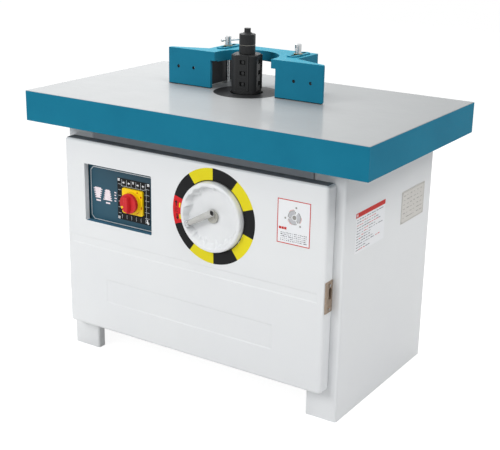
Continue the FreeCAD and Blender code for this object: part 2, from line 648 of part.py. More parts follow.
def make_door():
    def pan(inset, back):
        made = block(("door_left + " + inset, "door_front + " + inset, "door_low + " + inset),
                     ("door_right - " + inset, back, "door_top - " + inset))
        rear = size(back)
        return soften(made, "door_round - " + inset, lambda e: not flat_at(e, "y", rear))
    outer = pan("0", "door_back")
    shell = cut(outer, pan("door_wall", "door_back + overrun"))
    lip = cut(block(("door_left", "door_back - door_wall", "door_low"),
                    ("door_right", "door_back", "door_top")),
              block(("door_left + door_lip", "door_back - door_wall - overrun", "door_low + door_lip"),
                    ("door_right - door_lip", "door_back + overrun", "door_top - door_lip")))
    frame = block(("window_left - door_wall", "door_front + door_wall", "window_low - door_wall"),
                  ("window_right + door_wall", "door_front + window_collar", "window_high + door_wall"))
    collar = rod(("wheel_x", "door_front + door_wall", "wheel_z"), "wheel_hole + door_wall", "wheel_collar",
                 "Y")
    window = block(("window_left", "door_front - overrun", "window_low"),
                   ("window_right", "door_front + window_collar + overrun", "window_high"))
    window = soften(window, "window_round", lambda e: runs_along(e, "y"))
    opening = rod(("wheel_x", "door_front - overrun", "wheel_z"), "wheel_hole",
                  "door_wall + wheel_collar + overrun * 2", "Y")
    channel = frustum("door_left + channel_inset_left", "door_right - channel_inset_right", "channel_low",
                      "channel_high")
    field = frustum("field_left", "field_right", "field_low", "field_high")
    pull = pull_oval("pull_cup_wall + pull_hole_fit", "door_right - door_wall - overrun",
                     "door_wall + overrun * 2")
    node("door", cut(fuse(shell, common(lip, outer), frame, collar), window, opening, channel, field, pull,
                     *pull_screw_holes()))
    plate = block(("door_right", "door_front + pull_front", "pull_z - pull_height / 2"),
                  ("door_right + pull_plate", "door_back", "pull_z + pull_height / 2"))
    face = size("door_right + pull_plate")
    front = size("door_front + pull_front")
    plate = soften(plate, "pull_bevel", lambda e: flat_at(e, "x", face) and flat_at(e, "y", front),
                   "Part::Chamfer")
    cup = pull_oval("pull_cup_wall", "door_right - pull_cup", "pull_cup")
    hollow = pull_oval("0", "door_right - pull_cup + pull_cup_wall", "pull_cup + pull_plate")
    screws = [pan_screw(("door_right + pull_plate", pull_screw_y, z), "X") for z in pull_screw_heights]
    node("edge_pull", group(cut(fuse(plate, cup), hollow, *pull_screw_holes()), *screws))
    node("door_catch", block(("-catch_length / 2", "door_back + catch_air", "door_top - door_lip"),
                             ("catch_length / 2", "cab_front", "door_top")))


def make_hinges():
    fixed, moving, pins = [], [], []
    for z in ("door_low + hinge_from_end", "door_top - hinge_from_end"):
        foot = "%s - hinge_half" % z
        head = "%s + hinge_gap / 2" % z
        half = "hinge_half - hinge_gap / 2"
        bore = [rod(("hinge_x", "hinge_y", foot + " - overrun"), "hinge_pin + hinge_fit",
                    "hinge_half * 2 + overrun * 2")]
        web = block(("hinge_x - hinge_web / 2", "hinge_y", foot),
                    ("hinge_x + hinge_web / 2", "cab_front", foot + " + " + half))
        fixed.append(cut(fuse(rod(("hinge_x", "hinge_y", foot), "hinge_radius", half), web), *bore))
        web = block(("hinge_x", "hinge_y - hinge_web / 2", head),
                    ("door_left", "hinge_y + hinge_web / 2", head + " + " + half))
        moving.append(cut(fuse(rod(("hinge_x", "hinge_y", head), "hinge_radius", half), web), *bore))
        pins.append(rod(("hinge_x", "hinge_y", foot), "hinge_pin", "hinge_half * 2 - hinge_pin_end"))
    node("cabinet_hinges", group(*fixed, *pins))
    node("door_hinges", group(*moving))


def make_controls():
    shaft_way = rod(("switch_x", "knob_y - overrun", "switch_z"), "knob_shaft + knob_gap", "box_depth",
                    "Y")
    node("control_panel", cut(block(("panel_left", "panel_y", "panel_low"),
                                    ("panel_right", "panel_y + panel_thick", "panel_high")),
                              shaft_way))
    legend = block(("legend_x - legend_width / 2", "legend_y", "legend_z - legend_height / 2"),
                   ("legend_x + legend_width / 2", "panel_y", "legend_z + legend_height / 2"))
    node("legend_plate", cut(legend, shaft_way))
    screws = []
    for x in ("legend_x - legend_width / 2 + legend_screw_inset",
              "legend_x + legend_width / 2 - legend_screw_inset"):
        for z in ("legend_z - legend_height / 2 + legend_screw_inset",
                  "legend_z + legend_height / 2 - legend_screw_inset"):
            screws.append(rod((x, "legend_y - legend_screw_height", z), "legend_screw",
                              "legend_screw_height", "Y"))
    screws += [pan_screw((x, "cab_back", z), "Y") for x, z in back_screw_places]
    node("small_screws", group(*screws))
    square = block(("switch_x - switch_side / 2", "switch_y", "switch_z - switch_side / 2"),
                   ("switch_x + switch_side / 2", "legend_y", "switch_z + switch_side / 2"))
    dial = rod(("switch_x", "switch_y - dial_height", "switch_z"), "dial_radius", "dial_height", "Y")
    square = soften(square, "switch_round", lambda e: runs_along(e, "y"))
    node("switch_plate", cut(fuse(square, dial), shaft_way))
    rear = "panel_y + panel_thick"
    body = block(("switch_x - switch_body_side / 2", rear, "switch_z - switch_body_side / 2"),
                 ("switch_x + switch_body_side / 2", rear + " + switch_body_depth",
                  "switch_z + switch_body_side / 2"))
    bore = rod(("switch_x", rear + " - overrun", "switch_z"), "knob_shaft + knob_fit",
               "knob_shaft_length + overrun", "Y")
    node("switch_body", cut(body, bore))
    node("switch_box", cut(block(("box_left", rear, "box_low"),
                                 ("box_right", rear + " + box_depth", "box_high")),
                           block(("box_left + box_wall", rear + " - overrun", "box_low + box_wall"),
                                 ("box_right - box_wall", rear + " + box_depth - box_wall",
                                  "box_high - box_wall"))))
    disc = rod(("switch_x", "knob_y - knob_disc", "switch_z"), "knob_radius", "knob_disc", "Y")
    bar = block(("switch_x - knob_bar_width / 2", "knob_y - knob_disc - knob_bar_height",
                 "switch_z - knob_bar_length / 2"),
                ("switch_x + knob_bar_width / 2", "knob_y - knob_disc", "switch_z + knob_bar_length / 2"))
    tip = size("knob_y - knob_disc - knob_bar_height")
    bar = soften(bar, "knob_bar_round", lambda e: flat_at(e, "y", tip))
    stem = rod(("switch_x", "knob_y", "switch_z"), "knob_shaft",
               "%s + knob_shaft_length - knob_y - knob_gap" % rear, "Y")
    node("switch_knob", fuse(disc, bar, stem))


def make_frame_inside():
    rear = "cab_front + wall + post_thick"
    post = block(("wheel_x - post_width / 2", "cab_front + wall", "floor_clear"),
                 ("wheel_x + post_width / 2", rear, "table_low - wall"))
    way = rod(("wheel_x", "cab_front + wall - overrun", "wheel_z"), "shaft_radius + nut_clear",
              "post_thick + overrun * 2", "Y")
    node("front_post", cut(post, way))
    node("shaft_bearing", turned(ring("shaft_radius + shaft_fit", "bearing_radius", "0", "bearing_length"),
                                 "Y",
                                 ("wheel_x", rear, "wheel_z")))
    column = block(("spindle_x - column_width / 2", "column_y", "column_low"),
                   ("spindle_x + column_width / 2", "column_y + column_plate", "plate_low"))
    flange = block(("spindle_x - column_width / 2", "column_y + column_plate",
                    "plate_low - column_flange_thick"),
                   ("spindle_x + column_width / 2", "landing_back - landing_width - column_flange_clear",
                    "plate_low"))
    tail = prism([("spindle_x - tail_root / 2", "column_y"),
                  ("spindle_x - tail_outer / 2", "column_y - tail_depth"),
                  ("spindle_x + tail_outer / 2", "column_y - tail_depth"), ("spindle_x + tail_root / 2",
                                                                            "column_y")],
                 "column_low", "plate_low - tail_head_room - column_low")
    node("slide_column", fuse(column, flange, tail))
    half = "bracket_width / 2"
    front = "pillow_back - pillow_length"
    shelf = block(("wheel_x - " + half, front, "bracket_low"),
                  ("wheel_x + " + half, "column_y", "bracket_top"))
    back = block(("wheel_x - " + half, "column_y - bracket_back", "bracket_low"),
                 ("wheel_x + " + half, "column_y", "bracket_low + bracket_back_height"))
    pillow = block(("wheel_x - pillow_width / 2", front, "bracket_top"),
                   ("wheel_x + pillow_width / 2", "pillow_back", "wheel_z + pillow_over"))
    shaft_bore = rod(("wheel_x", front + " - overrun", "wheel_z"), "shaft_radius + shaft_fit",
                     "pillow_length + overrun * 2", "Y")
    screw_bore = rod(("wheel_x", "screw_y", "bracket_low - overrun"), "screw_journal + lift_screw_fit",
                     "bracket_plate + overrun * 2")
    node("gear_bracket", cut(fuse(shelf, back, pillow), shaft_bore, screw_bore))
    head = block(("wheel_x - bearing_block", "screw_y - bearing_block", "plate_low - bearing_block_height"),
                 ("wheel_x + bearing_block", "screw_y + bearing_block", "plate_low"))
    bore = rod(("wheel_x", "screw_y", "plate_low - bearing_block_height - overrun"),
               "screw_journal + lift_screw_fit",
               "bearing_block_height - screw_top_clear / 2 + overrun")
    node("screw_bearing", cut(head, bore))


def make_wheel():
    bore = "shaft_radius + press_fit"
    inner = "wheel_radius - wheel_rim_width"
    rear = "boss_set + boss_length"
    profile = [(bore, "boss_set"), ("boss_radius", "boss_set"), ("boss_radius", "web_set"),
               (inner, "web_set"),
               (inner, "0"), ("wheel_radius", "0"), ("wheel_radius", "wheel_rim_depth"),
               ("boss_radius", "wheel_rim_depth"), ("boss_radius", rear), (bore, rear)]
    wheel = turned(profile, "Y", ("wheel_x", "wheel_front_y", "wheel_z"))
    front = size("wheel_front_y")
    node("handwheel", soften(wheel, "rim_round", lambda e: flat_at(e, "y", front)))
    shaft = rod(("wheel_x", "boss_y", "wheel_z"), "shaft_radius",
                "screw_y - gear_radius + gear_face - boss_y", "Y")
    hole = rod(("wheel_x", "boss_y - overrun", "wheel_z"), "hub_screw_radius + press_fit",
               "hub_screw_length + overrun + nut_clear", "Y")
    node("wheel_shaft", cut(shaft, hole))
    profile = [("0", "-hub_screw_height"), ("hub_screw_head", "-hub_screw_height"), ("hub_screw_head", "0"),
               ("hub_screw_radius", "0"), ("hub_screw_radius", "hub_screw_length"), ("0",
                                                                                     "hub_screw_length")]
    node("hub_screw", turned(profile, "Y", ("wheel_x", "boss_y", "wheel_z")))


def on_handle(thing):
    """Put a piece drawn about the handle's pivot, lying along X, in its place on the wheel."""
    return place(thing, "wheel_x + handle_pivot_x", "handle_y", "wheel_z + handle_pivot_z",
                 turn=(V(0, 1, 0), -size("handle_angle")))


def make_handle():
    reach = "eye_width / 2 + ear_gap"
    out = "eye_width / 2 + ear_gap + ear_wall"
    ears = []
    for low in (reach, "-(%s)" % out):
        ears.append(rod(("0", "0", low), "ear_length / 2", "ear_wall"))
        ears.append(block(("-ear_length / 2", "0", low),
                          ("ear_length / 2", "handle_rise", low + " + ear_wall")))
    ears.append(block(("-ear_length / 2", "handle_rise - ear_base", "-(%s)" % reach),
                      ("ear_length / 2", "handle_rise", reach)))
    bore = rod(("0", "0", "-(%s) - overrun" % out), "handle_pin_radius + handle_pin_fit",
               "(%s) * 2 + overrun * 2" % out)
    profile = [("0", "-(%s) - handle_pin_head_height" % out),
               ("handle_pin_head", "-(%s) - handle_pin_head_height" % out),
               ("handle_pin_head", "-(%s)" % out), ("handle_pin_radius",
                                                    "-(%s)" % out), ("handle_pin_radius", out),
               ("handle_pin_head", out), ("handle_pin_head", out + " + handle_pin_head_height"),
               ("0", out + " + handle_pin_head_height")]
    node("handle_fork", on_handle(group(cut(fuse(*ears), bore), turned(profile))))
    end = "grip_start + grip_length"
    stop = "grip_start + grip_length - grip_recess + grip_end_play"
    eye = rod(("0", "0", "-eye_width / 2"), "eye_radius", "eye_width")
    stem = rod(("0", "0", "0"), "stem_radius", stop, "X")
    collar = rod(("grip_start - grip_end_play - stem_collar_thick", "0", "0"), "stem_collar",
                 "stem_collar_thick", "X")
    tapped = rod((stop + " - grip_screw_length - nut_clear", "0", "0"), "grip_screw_radius + press_fit",
                 "grip_screw_length + overrun", "X")
    screw = [("0", "-grip_screw_length"), ("grip_screw_radius", "-grip_screw_length"),
             ("grip_screw_radius", "0"),
             ("grip_screw_head", "0"), ("grip_screw_head", "grip_screw_height"), ("0", "grip_screw_height")]
    stem = cut(fuse(eye, stem, collar), rod(("0", "0", "-eye_width"), "handle_pin_radius + handle_pin_fit",
                                            "eye_width * 2"), tapped)
    node("handle_stem", on_handle(group(stem, turned(screw, "X", (stop, "0", "0")))))
    bore = "stem_radius + grip_fit"
    profile = [(bore, "grip_start"), ("grip_small", "grip_start"), ("grip_large", end),
               ("grip_recess_radius", end),
               ("grip_recess_radius", end + " - grip_recess"), (bore, end + " - grip_recess")]
    node("handle_grip", on_handle(turned(profile, "X")))


def bevel_gear(first_angle, bore, hub_length):
    """A straight bevel gear with its cone apex at the origin and its back towards -Z."""
    radius, face, flank = size("gear_radius"), size("gear_face"), math.tan(math.radians(size("gear_flank")))
    teeth = int(size("gear_teeth"))
    half = (math.pi * radius / teeth - size("gear_backlash")) / 2
    rise, fall = size("gear_addendum"), size("gear_dedendum")
    spots = []
    for n in range(teeth):
        middle = math.radians(first_angle) + 2 * math.pi * n / teeth
        for sign, out, width in ((-1, -fall, half + fall * flank), (-1, rise, half - rise * flank),
                                 (1, rise, half - rise * flank), (1, -fall, half + fall * flank)):
            angle = middle + sign * width / radius
            spots.append(V((radius + out) * math.cos(angle), (radius + out) * math.sin(angle), -radius))
    share = (radius - face) / radius
    loops = [Part.makePolygon([p * k for p in spots] + [spots[0] * k]) for k in (1.0, share)]
    gear = Part.makeLoft(loops, True, True)
    back = size("gear_back")
    gear = gear.fuse(Part.makeCylinder(radius - fall, back, V(0, 0, -radius - back)))
    if hub_length:
        gear = gear.fuse(Part.makeCylinder(size("gear_hub"), hub_length,
                                           V(0, 0, -radius - back - hub_length)))
    gear = gear.cut(Part.makeCylinder(size(bore), radius * 2, V(0, 0, -radius * 2)))
    made = doc.addObject("Part::Feature", "Gear")
    made.Shape = gear.removeSplitter()
    return made


def make_lift():
    pitch = 360 / size("gear_teeth")
    apex = ("wheel_x", "screw_y", "wheel_z")
    drive = bevel_gear(90 + pitch / 2, "shaft_radius + press_fit", size("gear_hub_length"))
    node("drive_gear", place(drive, *apex, turn=ALONG["Y"]))
    node("driven_gear", place(bevel_gear(-90, "screw_core + press_fit", 0), *apex))
    foot = "bracket_top + gear_floor_gap"
    top = "plate_low - bearing_block_height - nut_clear"
    profile = [("0", "bracket_low"), ("screw_journal", "bracket_low"), ("screw_journal", foot),
               ("screw_core", foot),
               ("screw_core", top), ("screw_journal", top), ("screw_journal",
                                                             "plate_low - screw_top_clear"),
               ("0", "plate_low - screw_top_clear")]
    node("lift_screw", turned(profile, "Z", ("wheel_x", "screw_y", "0")))
    bore = "screw_core + nut_clear"
    low = "arm_low - nut_flange_height"
    profile = [(bore, low), ("nut_flange", low), ("nut_flange", "arm_low"), ("nut_radius", "arm_low"),
               ("nut_radius", "arm_low + arm_height"), (bore, "arm_low + arm_height")]
    node("lift_nut", turned(profile, "Z", ("wheel_x", "screw_y", "0")))


def make_carriage():
    axis = ("spindle_x", "spindle_y")
    seat = "bearing_set + bearing_width"
    housing = rod((*axis, "housing_low"), "housing_radius", "housing_top - housing_low")
    foot = rod((*axis, "housing_low"), "foot_flange", "foot_flange_thick")
    saddle = block(("spindle_x - block_width / 2", "spindle_y + block_front", "block_low"),
                   ("spindle_x + block_width / 2", "column_y - slide_clear", "housing_top"))
    arm = block(("spindle_x + (housing_bore + housing_radius) / 2", "screw_y - arm_width / 2", "arm_low"),
                ("wheel_x + arm_over", "screw_y + arm_width / 2", "arm_low + arm_height"))
    side = "slide_clear * 3 / 2"
    groove = prism([("spindle_x - tail_root / 2 - " + side, "column_y"),
                    ("spindle_x - tail_outer / 2 - " + side, "column_y - tail_depth - slide_clear"),
                    ("spindle_x + tail_outer / 2 + " + side, "column_y - tail_depth - slide_clear"),
                    ("spindle_x + tail_root / 2 + " + side, "column_y")],
                   "block_low - overrun", "housing_top - block_low + overrun * 2")
    bores = [rod((*axis, "housing_low - overrun"), "housing_bore",
                 "housing_top - housing_low + overrun * 2"),
             rod((*axis, "housing_low - overrun"), "bearing_outer", seat + " + overrun"),
             rod((*axis, "housing_top - (%s)" % seat), "bearing_outer", seat + " + overrun"),
             rod(("wheel_x", "screw_y", "arm_low - overrun"), "nut_radius + press_fit",
                 "arm_height + overrun * 2")]
    casting = fuse(housing, foot, saddle, arm)
    casting.Refine = False
    node("carriage", cut(casting, groove, *bores))
    race = ring("journal_radius + bearing_run", "bearing_outer - press_fit", "0", "bearing_width")
    cap = ring("nose_radius + cap_bore_gap", "cap_radius", "0", "cap_thick")
    node("spindle_bearings", group(turned(race, "Z", (*axis, "housing_low + bearing_set")),
                                   turned(race, "Z", (*axis, "housing_top - (%s)" % seat)),
                                   turned(cap, "Z", (*axis, "housing_top"))))
    step = "motor_x + plate_step"
    wide, slim = "plate_half_motor", "plate_half_spindle"
    outline = [("motor_x - plate_over", "spindle_y - " + wide), (step, "spindle_y - " + wide),
               (step, "spindle_y - " + slim), ("spindle_x + " + slim, "spindle_y - " + slim),
               ("spindle_x + " + slim, "spindle_y + " + slim), (step, "spindle_y + " + slim),
               (step, "spindle_y + " + wide), ("motor_x - plate_over", "spindle_y + " + wide)]
    holes = [rod((x, "spindle_y", "plate_under - overrun"), radius, "motor_plate + overrun * 2")
             for x, radius in (("motor_x", "motor_hole"), ("spindle_x", "tail_radius + tail_gap"))]
    node("motor_plate", cut(prism(outline, "plate_under", "motor_plate"), *holes))


def make_motor():
    at = ("motor_x", "spindle_y", "housing_low")
    bore = "motor_shaft + motor_shaft_clear"
    profile = [(bore, "0"), ("motor_flange", "0"), ("motor_flange", "motor_flange_thick"),
               ("motor_core", "motor_flange_thick"), ("motor_core", "motor_height"), ("0", "motor_height"),
               ("0", "motor_shaft_in + nut_clear"), (bore, "motor_shaft_in + nut_clear")]
    body = turned(profile, "Z", at)
    fin = body.newObject("Sketcher::SketchObject", "FinOutline")
    planes = {feature.Role: feature for feature in body.Origin.OriginFeatures}
    fin.AttachmentSupport = [(planes["XY_Plane"], "")]
    fin.MapMode = "FlatFace"
    draw(fin, [("-fin_thick / 2", "-motor_core - fin_depth"), ("fin_thick / 2", "-motor_core - fin_depth"),
               ("fin_thick / 2", "-motor_core + fin_thick"), ("-fin_thick / 2", "-motor_core + fin_thick")])
    pad = body.newObject("PartDesign::Pad", "Fin")
    pad.Profile = fin
    bind(pad, "Length", "motor_height - fin_short")
    pattern = body.newObject("PartDesign::PolarPattern", "Fins")
    pattern.Originals = [pad]
    pattern.Axis = (planes["Z_Axis"], [""])
    pattern.Angle = 360
    bind(pattern, "Occurrences", "fin_count")
    body.Tip = pattern
    node("motor_housing", body)
    inner = "motor_flange - cowl_lip"
    wall = "cowl_radius - cowl_wall"
    profile = [(inner, "0"), ("cowl_radius", "0"), ("cowl_radius", "cowl_height"), ("0", "cowl_height"),
               ("0", "cowl_height - cowl_wall"), (wall, "cowl_height - cowl_wall"), (wall, "cowl_wall"),
               (inner, "cowl_wall")]
    base = "housing_low + motor_height"
    cowl = turned(profile, "Z", ("motor_x", "spindle_y", base))
    holes = []
    for n in range(int(size("cowl_hole_count"))):
        angle = "%d * 360 / cowl_hole_count" % n
        holes.append(rod(("motor_x + cowl_hole_ring * cos(%s)" % angle,
                          "spindle_y + cowl_hole_ring * sin(%s)" % angle,
                          base + " + cowl_height - cowl_wall - overrun"),
                         "cowl_hole", "cowl_wall + overrun * 2"))
    node("fan_cover", cut(cowl, *holes))
    front = "spindle_y - motor_core - fin_depth"
    node("terminal_box", block(("motor_x - terminal_width / 2", front + " - terminal_depth",
                                "housing_low + motor_flange_thick"),
                               ("motor_x + terminal_width / 2", front,
                                "housing_low + motor_flange_thick + terminal_height")))
    node("motor_shaft", rod(("motor_x", "spindle_y", "pulley_low - motor_shaft_end"), "motor_shaft",
                            "housing_low + motor_shaft_in - pulley_low + motor_shaft_end"))


def step_radius(step, rising):
    place_of = step if rising else int(size("pulley_steps")) - 1 - step
    return "spindle_pulley_small + pulley_grow * %d" % place_of


def stepped_pulley(rising, bore):
    """Turned profile of a stepped pulley with one vee groove to a step, from the top step down."""
    profile = []
    for step in range(int(size("pulley_steps"))):
        radius = step_radius(step, rising)
        middle = "pulley_top - pulley_step * (%d + 1 / 2)" % step
        for out, side in (("0", "pulley_step / 2"), ("0", "groove_top / 2"),
                          ("groove_depth", "groove_floor / 2"),
                          ("groove_depth", "-groove_floor / 2"), ("0", "-groove_top / 2"),
                          ("0", "-pulley_step / 2")):
            profile.append((radius + " - " + out, middle + " + " + side))
    return profile + [(bore, "pulley_low"), (bore, "pulley_top")]


def make_drive():
    node("spindle_pulley", turned(stepped_pulley(True, "tail_radius + press_fit"), "Z",
                                  ("spindle_x", "spindle_y", "0")))
    node("motor_pulley", turned(stepped_pulley(False, "motor_shaft + press_fit"), "Z",
                                ("motor_x", "spindle_y", "0")))
    step = int(size("belt_step"))
    middle = size("pulley_top - pulley_step * (belt_step + 1 / 2)")
    floor = size("groove_depth - belt_floor")
    ends = [(size("motor_x"), size(step_radius(step, False)) - floor),
            (size("spindle_x"), size(step_radius(step, True)) - floor)]
    lean = math.asin((ends[0][1] - ends[1][1]) / (ends[1][0] - ends[0][0]))
    spots = {}
    for n, (x, radius) in enumerate(ends):
        for sign in (-1, 1):
            spots[n, sign] = V(x + radius * math.sin(lean),
                               size("spindle_y") + sign * radius * math.cos(lean), middle)
    far = [V(x + sign * radius, size("spindle_y"), middle) for (x, radius), sign in zip(ends, (-1, 1))]
    path = Part.Wire([Part.makeLine(spots[0, 1], spots[1, 1]),
                      Part.Arc(spots[1, 1], far[1], spots[1, -1]).toShape(),
                      Part.makeLine(spots[1, -1], spots[0, -1]), Part.Arc(spots[0, -1], far[0],
                                                                          spots[0, 1]).toShape()])
    slope = size("(groove_top - groove_floor) / 2 / groove_depth")
    depth = size("groove_depth - belt_floor + belt_proud")
    low = size("groove_floor / 2 - belt_clear") + slope * size("belt_floor")
    outward = V(math.sin(lean), math.cos(lean), 0)
    section = []
    for out, half in ((0, -low), (depth, -low - slope * depth), (depth, low + slope * depth), (0, low)):
        section.append(spots[0, 1] + outward * out + V(0, 0, half))
    belt = doc.addObject("Part::Feature", "Belt")
    belt.Shape = path.makePipeShell([Part.makePolygon(section + [section[0]])], True, False)
    node("drive_belt", belt)


def make_spindle():
    nose_low = "housing_top - bearing_set + nut_clear"
    flange = "table_height + flange_low"
    tip = "collar_top - arbor_short"
    profile = [("0", "spindle_foot"), ("tail_radius", "spindle_foot"), ("tail_radius", "housing_low"),
               ("journal_radius", "housing_low"), ("journal_radius", nose_low), ("nose_radius", nose_low),
               ("nose_radius", flange), ("flange_radius", flange), ("flange_radius", "cutter_low"),
               ("arbor_radius", "cutter_low"), ("arbor_radius", tip), ("bolt_bore", tip),
               ("bolt_bore", tip + " - bolt_bore_depth"), ("0", tip + " - bolt_bore_depth")]
    node("spindle_shaft", turned(profile, "Z", ("spindle_x", "spindle_y", "0")))
    bore, high = "arbor_radius + spindle_fit", "cutter_height - cutter_chamfer"
    profile = [(bore, "0"), ("cutter_radius", "0"), ("cutter_radius", high),
               ("cutter_radius - cutter_chamfer", "cutter_height"), (bore, "cutter_height")]
    block_body = turned(profile)
    tip_y = "sqrt((cutter_radius + knife_out) ^ 2 - (knife_side + knife_thick) ^ 2)"
    count = int(size("knife_count"))
    turns = [(V(0, 0, 1), size("cutter_turn") + 360 * n / count) for n in range(count)]
    tools, inserts = [], []
    for turn in turns:
        pieces = [block(("-cutter_radius", "-cutter_radius - overrun", "-overrun"),
                        ("cutter_radius", "-flat_distance", "cutter_height + overrun")),
                  block(("knife_side - knife_slot_fit", "-cutter_radius - overrun", "-overrun"),
                        ("knife_side + knife_thick + knife_slot_fit",
                         "knife_depth + knife_slot_fit - " + tip_y,
                         "cutter_height + overrun"))]
        for row_step in (-1, 0, 1):
            z = "cutter_height / 2 + notch_pitch * %d" % row_step
            pieces.append(block(("-notch_width / 2", "-flat_distance - overrun", z + " - notch_height / 2"),
                                ("notch_width / 2", "notch_depth - flat_distance",
                                 z + " + notch_height / 2")))
            screw = rod(("0", "notch_depth - flat_distance - wedge_screw_height", z), "wedge_screw",
                        "wedge_screw_height", "Y")
            inserts.append(place(group(screw), "0", "0", "0", turn=turn))
        tools.append(place(fuse(*pieces), "0", "0", "0", turn=turn))
        knife = block(("knife_side", "-(%s)" % tip_y, "knife_short / 2"),
                      ("knife_side + knife_thick", "knife_depth - " + tip_y,
                       "cutter_height - knife_short / 2"))
        inserts.append(place(group(knife), "0", "0", "0", turn=turn))
    at = ("spindle_x", "spindle_y", "cutter_low")
    node("cutter_block", place(cut(block_body, *tools), *at))
    node("cutter_knives", place(group(*inserts), *at))
    collars = []
    for low, height in (("cutter_high", "collar_low_height"), ("collar_mid", "collar_high_height")):
        bevel = "collar_radius - collar_chamfer"
        profile = [(bore, "0"), (bevel, "0"), ("collar_radius", "collar_chamfer"),
                   ("collar_radius", height + " - collar_chamfer"), (bevel, height), (bore, height)]
        collars.append(turned(profile, "Z", ("spindle_x", "spindle_y", low)))
    node("spacing_collars", group(*collars))
    depth = "arbor_short + bolt_bore_depth - draw_shank_short"
    profile = [("0", "-(%s)" % depth), ("bolt_bore - press_fit", "-(%s)" % depth),
               ("bolt_bore - press_fit", "0"),
               ("arbor_radius + draw_gap * 4", "0"), ("draw_cone", "draw_cone_height"), ("0",
                                                                                         "draw_cone_height")]
    stud = turned(profile, "Z", ("spindle_x", "spindle_y", "collar_top"))
    head = hexagon(("spindle_x", "spindle_y", "collar_top + draw_cone_height"), "draw_head",
                   "draw_head_height")
    node("draw_bolt", fuse(stud, head))


def make_fence():
    def at(side, text):
        return "spindle_x + " + signed(side, text)

    def span(side, a, b):
        return (at(side, a), at(side, b)) if side > 0 else (at(side, b), at(side, a))
    rear = "spindle_y + fence_back"
    half = [("fence_end", "fence_y"), ("fence_end", "fence_y + fence_plate"),
            ("fence_arm", "fence_y + fence_notch"),
            ("fence_arm", rear)]
    outline = [(at(1, x), y) for x, y in half] + [(at(-1, x), y) for x, y in reversed(half)]
    arch = ("spindle_x", "arch_y")
    rib = cut(rod((*arch, "fence_high - fence_top - arch_rib_drop"), "fence_lip + arch_rib", "fence_top"),
              block((at(-1, "fence_end"), "fence_y - fence_lip", "fence_low"),
                    (at(1, "fence_end"), "arch_y", "fence_high")))
    pieces = [prism(outline, "fence_high - fence_top", "fence_top"), rib]
    tools = [rod((*arch, "fence_low"), "fence_lip", "fence_height + overrun"),
             block((at(-1, "fence_lip"), "fence_y - overrun", "fence_low - overrun"),
                   (at(1, "fence_lip"), "arch_y", "fence_high + overrun"))]
    shields = []
    for side in (-1, 1):
        left, right = span(side, "fence_inner", "fence_end")
        pieces.append(block((left, "fence_y", "fence_low"), (right, "fence_y + fence_plate", "fence_high")))
        left, right = span(side, "fence_arm - fence_arm_wall", "fence_arm")
        pieces.append(block((left, "fence_y", "fence_low"), (right, rear, "fence_high")))
        slot_middle = "spindle_y + slot_front + slot_length / 2"
        pieces.append(oval((at(side, "clamp_offset"), slot_middle, "fence_high - pad_height"),
                           "slot_length + pad_margin * 2",
                           "slot_width + pad_margin * 2", "pad_height * 2", "Z", "Y"))
        tools.append(oval((at(side, "clamp_offset"), slot_middle, "fence_low - overrun"), "slot_length",
                          "slot_width",
                          "fence_height + pad_height + overrun * 2", "Z", "Y"))
        for place_of in ("fence_hole_a", "fence_hole_b"):
            tools.append(rod((at(side, place_of), "fence_y - overrun", "fence_low + fence_hole_height"),
                             "fence_hole",
                             "fence_plate + overrun * 2", "Y"))
        left, right = span(side, "relief_start", "relief_end")
        tools.append(block((left, "fence_y - overrun", "fence_low - overrun"),
                           (right, "fence_y + relief_depth", "fence_low + relief_height")))
        face = "fence_arm - fence_arm_wall"
        left, right = span(side, face + " - shield_thick", face)
        shields.append(block((left, "fence_y + fence_plate", "fence_low + shield_lift"),
                             (right, rear + " - shield_back", "fence_high - fence_top")))
    casting = cut(fuse(*pieces), *tools)
    ends = [size(at(side, "fence_end")) for side in (-1, 1)]
    front = size("fence_y")

    def outer_corner(edge):
        start = edge.Vertexes[0].Point
        return runs_along(edge, "z") and near(start.y, front) and any(near(start.x, end) for end in ends)

    def plate_corner(side, low, high, level):
        left, right = span(side, "fence_end - fence_corner", "fence_end + overrun")
        sharp = block((left, "fence_y - overrun", low), (right, "fence_y + fence_notch", high))
        return cut(sharp, rod((at(side, "fence_end - fence_corner"), "fence_y - overrun * 2", level),
                              "fence_corner", "fence_notch + overrun * 4", "Y"))
    corners = []
    for side in (-1, 1):
        corners.append(plate_corner(side, "fence_low - overrun", "fence_low + fence_corner",
                                    "fence_low + fence_corner"))
        corners.append(plate_corner(side, "fence_high - fence_corner", "fence_high + overrun",
                                    "fence_high - fence_corner"))
    node("fence_casting", cut(soften(casting, "fence_round", outer_corner), *corners))
    node("fence_shields", group(*shields))


def make_clamps():
    for name, x in clamp_places.items():
        angle = size("bar_turn_" + name)
        foot, top = "table_height - clamp_rod_in", "head_low + clamp_head_height"
        profile = [("0", foot), ("clamp_rod", foot), ("clamp_rod", "washer_low"),
                   ("washer_radius", "washer_low"),
                   ("washer_radius", "head_low"), ("clamp_head", "head_low"), ("clamp_head",
                                                                               top + " - clamp_head_chamfer"),
                   ("clamp_head - clamp_head_chamfer", top), ("0", top)]
        hole = rod(("-bar_length / 2", "0", "0"), "bar_radius + bar_fit", "bar_length", "X")
        hole = place(group(hole), x, "clamp_y", "bar_z", turn=(V(0, 0, 1), angle))
        node(name + "_clamp_screw", cut(turned(profile, "Z", (x, "clamp_y", "0")), hole))
        shift = "bar_shift_" + name
        near, far = shift + " - bar_length / 2", shift + " + bar_length / 2"
        near_neck, far_neck = near + " + bar_knob_length", far + " - bar_knob_length"
        profile = [("0", near), ("bar_knob", near), ("bar_knob", near_neck), ("bar_radius", near_neck),
                   ("bar_radius", far_neck), ("bar_knob", far_neck), ("bar_knob", far), ("0", far)]
        node(name + "_clamp_bar", turned(profile, "X", (x, "clamp_y", "bar_z"), (V(0, 0, 1), angle)))


